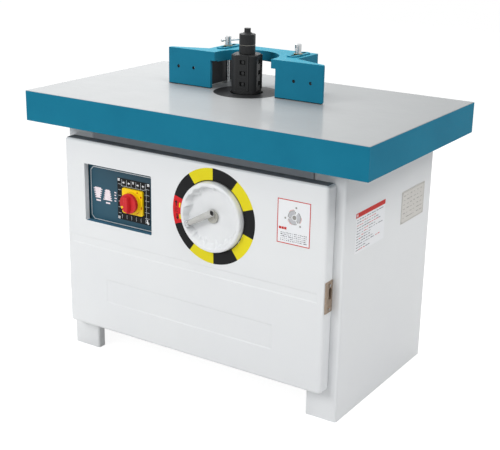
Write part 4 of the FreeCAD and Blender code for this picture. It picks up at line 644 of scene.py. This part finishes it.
def addGrown(name, tree, runs, body):
    # each run of the tree becomes plain mesh, and all of them one mesh
    sockets = {item.name: item.identifier for item in tree.interface.items_tree if item.in_out == "INPUT"}
    together, materials = bmesh.new(), []
    for values in runs:
        holder = addObject(name + "Holder", bpy.data.meshes.new(name + "Holder"))
        modifier = holder.modifiers.new("grow", "NODES")
        modifier.node_group = tree
        for label, value in values.items():
            modifier[sockets[label]] = value
        depsgraph = bpy.context.evaluated_depsgraph_get()
        grown = bpy.data.meshes.new_from_object(holder.evaluated_get(depsgraph))
        holder.modifiers.clear()
        together.from_mesh(grown)
        materials = list(grown.materials)
        bpy.data.objects.remove(holder)
        bpy.data.meshes.remove(grown)
    bmesh.ops.recalc_face_normals(together, faces=together.faces)
    mesh = bpy.data.meshes.new(name)
    together.to_mesh(mesh)
    together.free()
    for material in materials:
        mesh.materials.append(material)
    addPiece(name, mesh, body)

def barRun(count, start, step, barSize, finish, shortest=(1, 1, 1), seed=1):
    # one row of bars, given in millimetres
    places = {"Start": start, "Step": step, "Bar Size": barSize}
    places = {label: tuple(value * mm for value in place) for label, place in places.items()}
    return {"Count": count, **places, "Shortest": shortest, "Seed": seed, "Material": finishes[finish]}

def barRows(values, top, step, barSize, finish):
    # rows one under the other, each with a seed of its own
    x, y, z = top
    return [barRun(values["marks"], (x, y, z - values["rowStep"] * row), step, barSize, finish, values["shortest"],
                   values["seed"] + row) for row in range(values["rows"])]

# caution ring round the wheel's hole in the door, with its print and a black lip in the hole as painted shade for
# the gap's shadow
ringSet = {
    "centre": (91, 563), "inner": 109.2, "outer": 145, "face": -318, "thick": 0.35, "arcSteps": 12,
    "colours": "bybybybrby", "start": 91, "markThick": 0.15,
    # print on the red part, from the centre; an arrow has its tail and its angle
    "arrows": ((-132.5, 9, 92), (-130.5, -14, -79)), "arrowLength": 19, "arrowWidth": 11, "rows": 4,
    "rowLeft": -138, "rowLow": -8, "rowStep": 4, "rowLength": 12, "rowShorter": 3, "rowHeight": 1.2,
    "ticks": (170, 187), "tickTurn": 7, "tickInner": 118, "tickOuter": 123, "tickSteps": 3, "shadeLipWidth": 0.7,
    "shadeLipDepth": 16, "shadeLipSteps": 96,
}
ringColours = {
    "b": ("cautionRingBlack", "black_plastic", "ringBlack"),
    "y": ("cautionRingYellow", "yellow_plastic", "ringYellow"), "r": ("cautionRingRed", "red_plastic", "ringRed"),
}

def makeCautionRing(values):
    carry, centre = onFront(values["face"]), values["centre"]
    turn = 360 / len(values["colours"])
    for key, (name, slotName, finish) in ringColours.items():
        starts = [values["start"] - turn * (n + 1) for n, colour in enumerate(values["colours"]) if colour == key]
        flats = [sector(centre, values["inner"], values["outer"], start, start + turn, values["arcSteps"])
                 for start in starts]
        addRaised(name, flats, carry, values["thick"], "door", slotName, finish)
    x, z = centre
    dark = [arrow((x + u, z + v), angle, values["arrowLength"], values["arrowWidth"])
            for u, v, angle in values["arrows"]]
    for n in range(values["rows"]):
        left, low = x + values["rowLeft"], z + values["rowLow"] + values["rowStep"] * n
        length = values["rowLength"] - values["rowShorter"] * (n % 2)
        dark.append(bar(left, low, left + length, low + values["rowHeight"]))
    light = [sector(centre, values["tickInner"], values["tickOuter"], angle, angle + values["tickTurn"],
                    values["tickSteps"]) for angle in values["ticks"]]
    for name, flats, key in (("ringArrows", dark, "b"), ("ringTicks", light, "y")):
        addRaised(name, flats, carry, values["markThick"], "door", *ringColours[key][1:], base=values["thick"])
    # black sleeve in the hole: painted shade for the shadowed gap round the wheel
    shadeLip = [hoop(centre, values["inner"], values["inner"] + values["shadeLipWidth"], values["shadeLipSteps"])]
    addRaised("ringShadeLip", shadeLip, carry, values["shadeLipDepth"], "door", *ringColours["b"][1:], base=-values["shadeLipDepth"])

makeCautionRing(ringSet)
print("caution ring made")

# plate with a dial picture on the door
dialSet = {
    "left": 309, "right": 415, "low": 532, "high": 661, "face": -318, "thick": 0.5, "border": 2.4, "print": 0.15,
    "dial": (364, 612), "notches": (80, 190, 310),
    # an arc from each notch: inner and outer radius, start and end angle, steps
    "redArc": (22.2, 23, 14, 60, 8), "greyArc": (8.5, 18.8, 7, 103, 14), "lineArc": (19, 21, 7, 103, 14),
    "gapArc": (10, 18, -5, 4, 3), "hub": 6.5, "hubSteps": 32, "dot": 3, "dotAway": 29.5, "dotSteps": 12,
    "blocks": 3, "blockIn": 6, "blockStep": 8.6, "blockWidth": 7.4, "blockLow": 573, "blockHigh": 580, "rows": 5,
    "rowTop": 563, "rowStep": 5.6, "rowIn": 12, "marks": 14, "markStep": 6.2, "markWidth": 5.6, "markHeight": 2.6,
    "shortest": (0.3, 1, 0.35), "seed": 11,
}

def makeDialPlate(values):
    carry, base, ink = onFront(values["face"]), values["thick"], values["print"]
    left, low, right, high = (values[k] for k in ("left", "low", "right", "high"))
    dial, notches = values["dial"], values["notches"]
    def arcs(key):
        inner, outer, start, end, steps = values[key]
        return [sector(dial, inner, outer, angle + start, angle + end, steps) for angle in notches]
    addRaised("dialPlate", [bar(left, low, right, high)], carry, base, "door", "white_paint", "signWhite")
    blocks = [left + values["blockIn"] + values["blockStep"] * n for n in range(values["blocks"])]
    red = [borderBand(left, low, right, high, values["border"])]
    red += [bar(x, values["blockLow"], x + values["blockWidth"], values["blockHigh"]) for x in blocks]
    addRaised("dialPlateRed", red + arcs("redArc"), carry, ink, "door", "red_plastic", "signRed", base)
    addRaised("dialPicture", arcs("greyArc"), carry, ink, "door", "plate_aluminium", "signGrey", base)
    dots = [disc(polar(dial, values["dotAway"], angle), values["dot"], values["dotSteps"]) for angle in notches]
    lines = arcs("lineArc") + [disc(dial, values["hub"], values["hubSteps"])] + arcs("gapArc") + dots
    addRaised("dialLines", lines, carry, ink, "door", "plate_aluminium", "signFaint", base)
    top = left + values["rowIn"], values["face"] - base - ink, values["rowTop"]
    barSize = values["markWidth"], ink, values["markHeight"]
    rows = barRows(values, top, (values["markStep"], 0, 0), barSize, "signInk")
    addGrown("dialPlateRows", barRow, rows, "door")

makeDialPlate(dialSet)

# ruled card on the right side panel
cardSet = {
    "front": -210, "back": -27, "low": 500, "high": 620, "face": 498.5, "thick": 0.4, "print": 0.15, "header": 14,
    "windowFrom": 6, "windowTo": 12, "windowEdge": 3, "rowTop": 598, "rowStep": 8.2, "rowIn": 7, "cell": 15,
    "barShare": 0.92, "barHeight": 2.4, "shortest": (1, 0.6, 0.5), "seed": 31,
    # marks in each row, and which of them are red
    "rows": (
        (11, 0, 0), (8, 2, 8), (9, 0, 3), (10, 5, 9), (8, 3, 5), (11, 3, 5), (6, 2, 3), (6, 1, 2), (7, 0, 0),
        (10, 8, 10), (4, 0, 0), (6, 1, 4)),
}

def makeSideCard(values):
    carry, base, ink, cell = onRight(values["face"]), values["thick"], values["print"], values["cell"]
    front, back, low, high = (values[k] for k in ("front", "back", "low", "high"))
    addRaised("sideCard", [bar(front, low, back, high)], carry, base, "frame", "white_paint", "signWhite")
    foot, edge = high - values["header"], values["windowEdge"]
    near, far = front + values["windowFrom"], front + values["windowTo"]
    header = [bar(front, foot, near, high), bar(near, foot, far, foot + edge), bar(near, high - edge, far, high),
              bar(far, foot, back, high)]
    addRaised("sideCardHeader", header, carry, ink, "frame", "red_plastic", "signRed", base)
    marks = {"signInk": [], "signRed": []}
    barSize = ink, cell * values["barShare"], values["barHeight"]
    for row, (count, redFrom, redTo) in enumerate(values["rows"]):
        height = values["rowTop"] - values["rowStep"] * row
        for first, last, finish in ((0, redFrom, "signInk"), (redFrom, redTo, "signRed"), (redTo, count, "signInk")):
            if last > first:
                start = values["face"] + base, front + values["rowIn"] + cell * first, height
                marks[finish].append(barRun(last - first, start, (0, cell, 0), barSize, finish, values["shortest"],
                                            values["seed"] + row))
    addGrown("sideCardRows", barRow, marks["signInk"], "frame")
    addGrown("sideCardRedRows", barRow, marks["signRed"], "frame")

makeSideCard(cardSet)

# faint border and rules on the riveted plate
ruleSet = {
    "plateThick": 1.2, "inset": 2.5, "line": 1.2, "print": 0.12, "rows": 6, "rowIn": 12, "rowStep": 14,
    "rowTop": 16, "marks": 6, "cell": 24, "cellGap": 3, "barHeight": 3, "shortest": (1, 0.25, 0.5), "seed": 71,
}

def makePlateRules(values):
    low, high = boxOf("blank_plate")
    face, inset, ink, cell = low.x + values["plateThick"], values["inset"], values["print"], values["cell"]
    lines = [borderBand(low.y + inset, low.z + inset, high.y - inset, high.z - inset, values["line"])]
    addRaised("plateBorder", lines, onRight(face), ink, "frame", "plate_aluminium", "signFaint")
    top = face, low.y + values["rowIn"], high.z - values["rowTop"]
    barSize = ink, cell - values["cellGap"], values["barHeight"]
    rows = barRows(values, top, (0, cell, 0), barSize, "signFaint")
    addGrown("plateRules", barRow, rows, "frame")

makePlateRules(ruleSet)
print("door plate, side card and riveted plate made")

# print on the control panel
panelPrint = {
    "face": -294.5, "thick": 0.15, "left": -394, "right": -140, "low": 461, "high": 634, "corner": 12,
    "line": 2.4, "steps": 5, "taper": 0.36, "slim": 0.7,
    # left, right, low, high, and whether the picture narrows upwards
    "cones": ((-383, -348, 533, 568, False), (-344, -309, 531, 566, True)),
    "bars": ((-373, 523, -355, 528), (-334, 520, -317, 525)), "rowAt": (-299, 533), "marks": 4, "markStep": 9,
    "markWidth": 9, "markHeight": 4, "shortest": (0.7, 1, 0.8), "seed": 5,
}

def steppedCone(values, left, right, low, high, upward):
    # a stack of wide and narrow bars, like a ragged stepped pulley
    shapes, steps = [], values["steps"]
    rise = (high - low) / steps
    middle, half = (left + right) / 2, (right - left) / 2
    for n in range(steps):
        wide = half * (1 - values["taper"] * (n if upward else steps - 1 - n) / (steps - 1))
        slim = wide * values["slim"]
        foot = low + rise * n
        waist, head = foot + rise / 2, foot + rise
        points = [(-wide, foot), (wide, foot), (wide, waist), (slim, waist), (slim, head), (-slim, head),
                  (-slim, waist), (-wide, waist)]
        shapes.append(([(middle + x, z) for x, z in points], [[0, 1, 2, 3, 6, 7], [6, 3, 4, 5]]))
    return shapes

def makePanelPrint(values):
    carry, ink = onFront(values["face"]), values["thick"]
    left, right, low, high, cut = (values[k] for k in ("left", "right", "low", "high", "corner"))
    loop = [(left + cut, low), (right - cut, low), (right, low + cut), (right, high - cut), (right - cut, high),
            (left + cut, high), (left, high - cut), (left, low + cut)]
    line = [band(loop, insetLoop(loop, values["line"]))]
    addRaised("panelBorder", line, carry, ink, "frame", "plate_aluminium", "signLine")
    marks = [shape for cone in values["cones"] for shape in steppedCone(values, *cone)]
    marks += [bar(*corners) for corners in values["bars"]]
    addRaised("panelPictures", marks, carry, ink, "frame", "plate_aluminium", "signPink")
    start = values["rowAt"][0], values["face"] - ink, values["rowAt"][1]
    barSize = values["markWidth"], ink, values["markHeight"]
    rows = [barRun(values["marks"], start, (0, 0, values["markStep"]), barSize, "signPink", values["shortest"],
                   values["seed"])]
    addGrown("panelRows", barRow, rows, "frame")

makePanelPrint(panelPrint)

# blue strip on the sill of the panel's window
sillSet = {"left": -398.6, "right": -136, "front": -317.4, "back": -300.4, "level": 460, "thick": 0.4}

def makeSillStrip(values):
    strip = [bar(values["left"], values["front"], values["right"], values["back"])]
    addRaised("sillStrip", strip, onTop(values["level"]), values["thick"], "door", "blue_paint", "sillPaint")

makeSillStrip(sillSet)

# grey strip along the door's top edge: painted shade for the shadowed gap above the door
shadeStripSet = {"endGap": 7, "front": 6.5, "back": 1.5, "thick": 0.8}

def makeDoorShadeStrip(values):
    low, high = boxOf("door")
    gap = values["endGap"]
    strip = [bar(low.x + gap, low.y + values["front"], high.x - gap, high.y - values["back"])]
    addRaised("doorShadeStrip", strip, onTop(high.z), values["thick"], "door", "belt_rubber", "shadeStripGrey")

makeDoorShadeStrip(shadeStripSet)

# ticks, arrows and corner marks on the legend plate round the switch
legendSet = {
    "print": 0.15, "across": 6, "upright": 6, "tick": 1, "short": 11, "lowLonger": 2,
    # from the plate's edges, and clear of the switch plate
    "insetX": 17, "insetZ": 20, "left": 3, "low": 4, "clear": 4, "rightEdge": 2, "topEdge": 3,
    "uprightRule": (9, 14), "levelRule": (15, 3), "ruleSpare": 34,
    # an arrow has its angle and how far it is moved along the row
    "arrows": ((0, -5), (180, 6), (90, 0), (0, -5), (180, 6)), "arrowIn": 25, "arrowRise": 1, "arrowSize": 9,
    "corner": 8, "cornerEdge": 1.5, "downArrow": (10, 17, 14, 12),
}

def makeLegendMarks(values):
    low, high = boxOf("legend_plate")
    plateHigh = boxOf("switch_plate")[1]
    ink, tick, short, clear = (values[k] for k in ("print", "tick", "short", "clear"))
    across, upright, spare = values["across"], values["upright"], values["ruleSpare"]
    face, width, height = low.y, high.x - low.x, high.z - low.z
    fromX, fromZ = low.x + values["insetX"], low.z + values["insetZ"]
    stepX = (width - 2 * values["insetX"]) / (across - 1)
    stepZ = (height - 2 * values["insetZ"]) / (upright - 1)
    def row(count, x, z, step, sizeX, sizeZ):
        return barRun(count, (x, face - ink, z), step, (sizeX, ink, sizeZ), "signLine")
    right, top = plateHigh.x + clear, plateHigh.z + clear
    (ruleX, ruleLow), (ruleLeft, ruleZ) = values["uprightRule"], values["levelRule"]
    runs = [row(upright, low.x + values["left"], fromZ, (0, 0, stepZ), short, tick),
            row(upright, right, fromZ, (0, 0, stepZ), high.x - right - values["rightEdge"], tick),
            row(across, fromX, low.z + values["low"], (stepX, 0, 0), tick, short + values["lowLonger"]),
            row(across, fromX, top, (stepX, 0, 0), tick, high.z - top - values["topEdge"]),
            row(1, plateHigh.x + ruleX, low.z + ruleLow, (0, 0, 1), tick, height - spare),
            row(1, low.x + ruleLeft, plateHigh.z + ruleZ, (0, 0, 1), width - spare, tick)]
    addGrown("legendTicks", barRow, runs, "frame")
    middle, length = (plateHigh.z + high.z) / 2 + values["arrowRise"], values["arrowSize"]
    marks = [arrow((low.x + values["arrowIn"] + stepX * n + shift, middle), angle, length, length)
             for n, (angle, shift) in enumerate(values["arrows"])]
    side, edge = values["corner"], values["cornerEdge"]
    lefts, lows = (low.x + edge, high.x - edge - side), (low.z + edge, high.z - edge - side)
    for x, z in ((lefts[0], lows[0]), (lefts[0], lows[1]), (lefts[1], lows[1])):
        marks.append(bar(x, z, x + side, z + side))
    aside, rise, length, breadth = values["downArrow"]
    marks.append(arrow((high.x - aside, low.z + rise), -90, length, breadth))
    addRaised("legendArrows", marks, onFront(face), ink, "frame", "white_paint", "signWhite")

makeLegendMarks(legendSet)

# red marks on the switch plate, and the pointer's tip on the knob
switchSet = {
    "print": 0.2, "plateDepth": 7, "dots": ((20, 33, 2.4), (34, 21, 3)), "dotSteps": 16,
    "arc": (37.5, 39, -70, -46, 6), "downArrow": (36, -8, 10, 7), "pointer": 212, "barRise": 14,
    "tip": ((22, -2.4), (30.4, -4), (30.4, 4), (22, 2.4)), "tipThick": 0.6,
}

def makeSwitchMarks(values):
    low, high = boxOf("switch_plate")
    x, z = (low.x + high.x) / 2, (low.z + high.z) / 2
    marks = [disc((x + u, z + v), radius, values["dotSteps"]) for u, v, radius in values["dots"]]
    u, v, length, breadth = values["downArrow"]
    marks += [sector((x, z), *values["arc"]), arrow((x + u, z + v), -90, length, breadth)]
    carry = onFront(high.y - values["plateDepth"])
    addRaised("switchMarks", marks, carry, values["print"], "frame", "red_plastic", "signRed")
    carry = onFront(boxOf("switch_knob")[0].y + values["barRise"])
    tip = [outline(turned(values["tip"], (x, z), values["pointer"]))]
    addRaised("knobPointer", tip, carry, values["tipThick"], "switch", "yellow_plastic", "yellowPlastic")

makeSwitchMarks(switchSet)
print("control panel print made")

# thin bright ring between the two spacing collars: a painted highlight for the light line at their joint
highlightShimSet = {"inner": 22, "outer": 25.1, "thick": 0.6, "lowCollar": 28, "steps": 72}

def makeHighlightShim(values):
    low, high = boxOf("spacing_collars")
    centre = (low.x + high.x) / 2, (low.y + high.y) / 2
    ring = [hoop(centre, values["inner"], values["outer"], values["steps"])]
    level = low.z + values["lowCollar"] - values["thick"] / 2
    addRaised("collarHighlightShim", ring, onTop(level), values["thick"], "spindle", "steel", "bossMetal")

makeHighlightShim(highlightShimSet)

# slotted screw heads on the edge pull: two halves each
pullSet = {"radius": 3.6, "rise": 0.9, "slot": 1.1, "height": 36, "turns": (40, 220), "steps": 14}

def makePullScrews(values):
    low, high = boxOf("edge_pull")
    y, z = (low.y + high.y) / 2, (low.z + high.z) / 2
    half = math.degrees(math.asin(values["slot"] / values["radius"] / 2))
    heads = [outline(arc((y, z + away), values["radius"], turn + half, turn + 180 - half, values["steps"]))
             for away in (-values["height"], values["height"]) for turn in values["turns"]]
    addRaised("pullScrews", heads, onRight(high.x), values["rise"], "door", "steel", "steel")

makePullScrews(pullSet)

# threads on the clamp rods and the lift screw
clampThread = {"low": 857, "length": 120, "radius": 5.45, "pitch": 1.75, "ridge": 0.35}
threadSet = {
    "leftClampThread": {**clampThread, "at": (-173, 141), "body": "left_clamp"},
    "rightClampThread": {**clampThread, "at": (91, 141), "body": "right_clamp"},
    "liftThread": {"at": (91, 52.5), "low": 566, "length": 230, "radius": 8.95, "pitch": 5, "ridge": 0.25,
                   "body": "screw"},
}

def makeThreads(table):
    for name, values in table.items():
        run = {"Radius": values["radius"] * mm, "Length": values["length"] * mm,
               "Turns": values["length"] / values["pitch"], "Ridge": values["ridge"] * mm,
               "Foot": tuple(value * mm for value in (*values["at"], values["low"])), "Material": finishes["steel"]}
        addGrown(name, threadRidge, [run], values["body"])

makeThreads(threadSet)
print("threads made")

# protective film on the handwheel: flat on the web, creased where it climbs to the rim
filmSet = {
    "centre": (91, 563), "web": -317, "front": -337, "hub": 18.8, "skin": 0.45, "spokes": 432, "webRings": 22,
    "webEase": 0.7, "wallRings": 26, "thick": 0.12, "climb": 1.15, "overRim": 0.3, "highest": 0.5, "wave": 0.5,
    "waveScale": 0.04, "waveLift": 0.6, "waveFrom": 30, "waveOver": 30, "seed": 3.7,
    # angle and radius of the corners where the film leaves the web, and where it meets the rim
    "webCorners": (
        (2, 88), (19, 86), (42, 87), (58, 90), (73, 90), (87, 91), (92, 86), (112, 88), (119, 90), (127, 83),
        (143, 86), (153, 81), (161, 78), (172, 77), (186, 89), (204, 89), (223, 81), (238, 87), (250, 83),
        (264, 85), (280, 78), (293, 86), (302, 81), (322, 84), (342, 84)),
    "rimCorners": (
        (6, 95.2), (19, 95.3), (38, 94.6), (54, 95.3), (79, 95.3), (95, 93.6), (110, 95.2), (125, 94),
        (140, 95.2), (155, 93.6), (169, 95.3), (185, 95), (205, 95.2), (228, 94), (243, 95.2), (257, 93.6),
        (275, 95.2), (299, 94), (326, 95), (345, 95.2)),
    # inner end, outer end (angle, radius), height, width on the left and on the right of the line
    "creases": (
        ((123, 74), (141, 93), 11, 5, 14), ((158, 75), (169, 93), 11, 4.5, 15), ((119, 83), (109, 94), 9, 12, 4),
        ((91, 81), (80, 94), 9, 13, 4), ((221, 76), (228, 92), 7, 4, 8), ((236, 81), (240, 92), 5, 3.5, 6),
        ((248, 72), (257, 92), 7, 4, 8), ((276, 71), (285, 91), 6, 4, 7), ((307, 74), (299, 92), 6.5, 7, 4),
        ((315, 78), (327, 92), 5.5, 4, 6)),
    # shares of a crease's length: where it starts and ends, and how it rises and falls
    "creaseFrom": -0.05, "creaseTo": 1.1, "creaseRise": 0.4, "creaseFall": 0.3,
    # radius and setback of the film over the rim
    "rim": (
        (97.2, -0.4), (99.6, -0.55), (101.6, -0.35), (103.2, 0.9), (104.4, 3), (105.2, 7), (106.1, 16),
        (106.4, 24)),
    # what a round cut takes of its square blank
    "roundShare": 0.785,
}

def cornerRadius(corners, angle):
    # straight lines run from corner to corner
    spots = list(corners) + [(corners[0][0] + 360, corners[0][1])]
    angle = (angle - corners[0][0]) % 360 + corners[0][0]
    for (a, ra), (b, rb) in zip(spots, spots[1:]):
        if a <= angle <= b:
            t, u = math.radians(angle - a), math.radians(b - angle)
            return ra * rb * math.sin(t + u) / (ra * math.sin(t) + rb * math.sin(u))
    return corners[0][1]

def creaseHeight(values, point):
    total = 0
    for (startAngle, startRadius), (endAngle, endRadius), height, left, right in values["creases"]:
        start, end = Vector(polar((0, 0), startRadius, startAngle)), Vector(polar((0, 0), endRadius, endAngle))
        line = end - start
        along = (point - start).dot(line) / line.length_squared
        if values["creaseFrom"] < along < values["creaseTo"]:
            off = line.cross(point - start) / line.length
            across = max(0, 1 - abs(off) / (left if off > 0 else right))
            total = max(total, height * across * min(1, max(0, along) / values["creaseRise"],
                                                     (values["creaseTo"] - along) / values["creaseFall"]))
    return total

def filmColumn(values, angle):
    # radius and depth of the film along one spoke, from the hub to behind the rim
    web, rise, skin, hub = values["web"], values["web"] - values["front"], values["skin"], values["hub"]
    edge, rim = cornerRadius(values["webCorners"], angle), cornerRadius(values["rimCorners"], angle)
    webRings, wallRings = values["webRings"], values["wallRings"]
    radii = [hub + (edge - hub) * (n / webRings) ** values["webEase"] for n in range(webRings)]
    radii += [edge + (rim - edge) * n / wallRings for n in range(wallRings + 1)]
    column = []
    for radius in radii:
        u, v = polar((0, 0), radius, angle)
        climb = max(0, (radius - edge) / (rim - edge))
        wave = noise.noise(Vector((u * values["waveScale"], v * values["waveScale"], values["seed"])))
        lift = skin + (rise + values["overRim"] - skin) * climb ** values["climb"]
        lift += creaseHeight(values, Vector((u, v)))
        grow = min(1, max(0, (radius - values["waveFrom"]) / values["waveOver"]))
        lift += values["wave"] * (wave + values["waveLift"]) * grow * (1 - climb)
        column.append((radius, web - min(lift, rise + values["highest"])))
    return column + [(radius, values["front"] + back) for radius, back in values["rim"]]

def makeFilm(values):
    made, loops = bmesh.new(), []
    for spoke in range(values["spokes"]):
        angle = 360 * spoke / values["spokes"]
        places = [(polar(values["centre"], radius, angle), y) for radius, y in filmColumn(values, angle)]
        loops.append([made.verts.new((x * mm, y * mm, z * mm)) for (x, z), y in places])
    for a, b in zip(loops, loops[1:] + loops[:1]):
        for n in range(len(a) - 1):
            made.faces.new([a[n], b[n], b[n + 1], a[n + 1]])
    bmesh.ops.recalc_face_normals(made, faces=made.faces)
    area = sum(face.calc_area() for face in made.faces)
    if sum(face.normal.y * face.calc_area() for face in made.faces) > 0:
        bmesh.ops.reverse_faces(made, faces=made.faces)
    for face in made.faces:
        face.smooth = True
    mesh = bpy.data.meshes.new("wheelFilm")
    made.to_mesh(mesh)
    made.free()
    film = addPiece("wheelFilm", mesh, "wheel", "filmSkin")
    solid = film.modifiers.new("thickness", "SOLIDIFY")
    solid.thickness = values["thick"] * mm
    solid.offset = 1

makeFilm(filmSet)
print("wheel film made")

# studio: pale floor, white surround, soft lamps
studioSet = {
    "floorSide": 16, "floorGrey": 0.22, "floorGlow": 0.93, "bounce": 0.7, "dome": 0.38,
    "lamps": {
        "keyLamp": ((-2, -4.9, 3.8), 3, 180), "sideLamp": ((3.4, -1, 4.6), 2.6, 134),
        "topLamp": ((-1.4, 1.1, 3), 1.8, 76)},
    "aim": (0, 0, 0.5),
}

def seenDirectly(tree):
    # camera, mirror and glass rays see the white surround
    path = addNode(tree, "ShaderNodeLightPath").outputs
    first = mathNode("MAXIMUM", path["Is Camera Ray"], path["Is Glossy Ray"])
    return mathNode("MAXIMUM", first, path["Is Transmission Ray"])

def makeFloorWhite(values):
    made = bpy.data.materials.new("floorWhite")
    made.use_nodes = True
    tree = made.node_tree
    tree.nodes.remove(tree.nodes["Principled BSDF"])
    grey, pale = (addNode(tree, "ShaderNodeBsdfDiffuse", {"Color": (values[key],) * 3 + (1,)}).outputs[0]
                  for key in ("floorGrey", "bounce"))
    glow = addNode(tree, "ShaderNodeEmission", {"Strength": values["floorGlow"]}).outputs[0]
    both = addNode(tree, "ShaderNodeAddShader", {0: grey, 1: glow}).outputs[0]
    choice = addNode(tree, "ShaderNodeMixShader", {0: seenDirectly(tree), 1: pale, 2: both}).outputs[0]
    feed(choice, tree.nodes["Material Output"].inputs["Surface"])
    return made

def makeStudio(values):
    scene.world = bpy.data.worlds.new("studioWorld")
    scene.world.use_nodes = True
    tree = scene.world.node_tree
    ground = tree.nodes["Background"].inputs
    feed((1, 1, 1, 1), ground["Color"])
    feed(mixValue(seenDirectly(tree), values["dome"], 1), ground["Strength"])
    side = values["floorSide"] / 2
    mesh = bpy.data.meshes.new("studioFloor")
    mesh.from_pydata([(-side, -side, 0), (side, -side, 0), (side, side, 0), (-side, side, 0)], [], [(0, 1, 2, 3)])
    mesh.materials.append(makeFloorWhite(values))
    floor = addObject("studioFloor", mesh)
    for name, (place, size, power) in values["lamps"].items():
        lamp = bpy.data.lights.new(name, "AREA")
        lamp.size, lamp.energy = size, power
        made = addObject(name, lamp)
        made.location = place
        made.rotation_euler = (Vector(values["aim"]) - Vector(place)).to_track_quat("-Z", "Y").to_euler()

makeStudio(studioSet)
print("studio made")
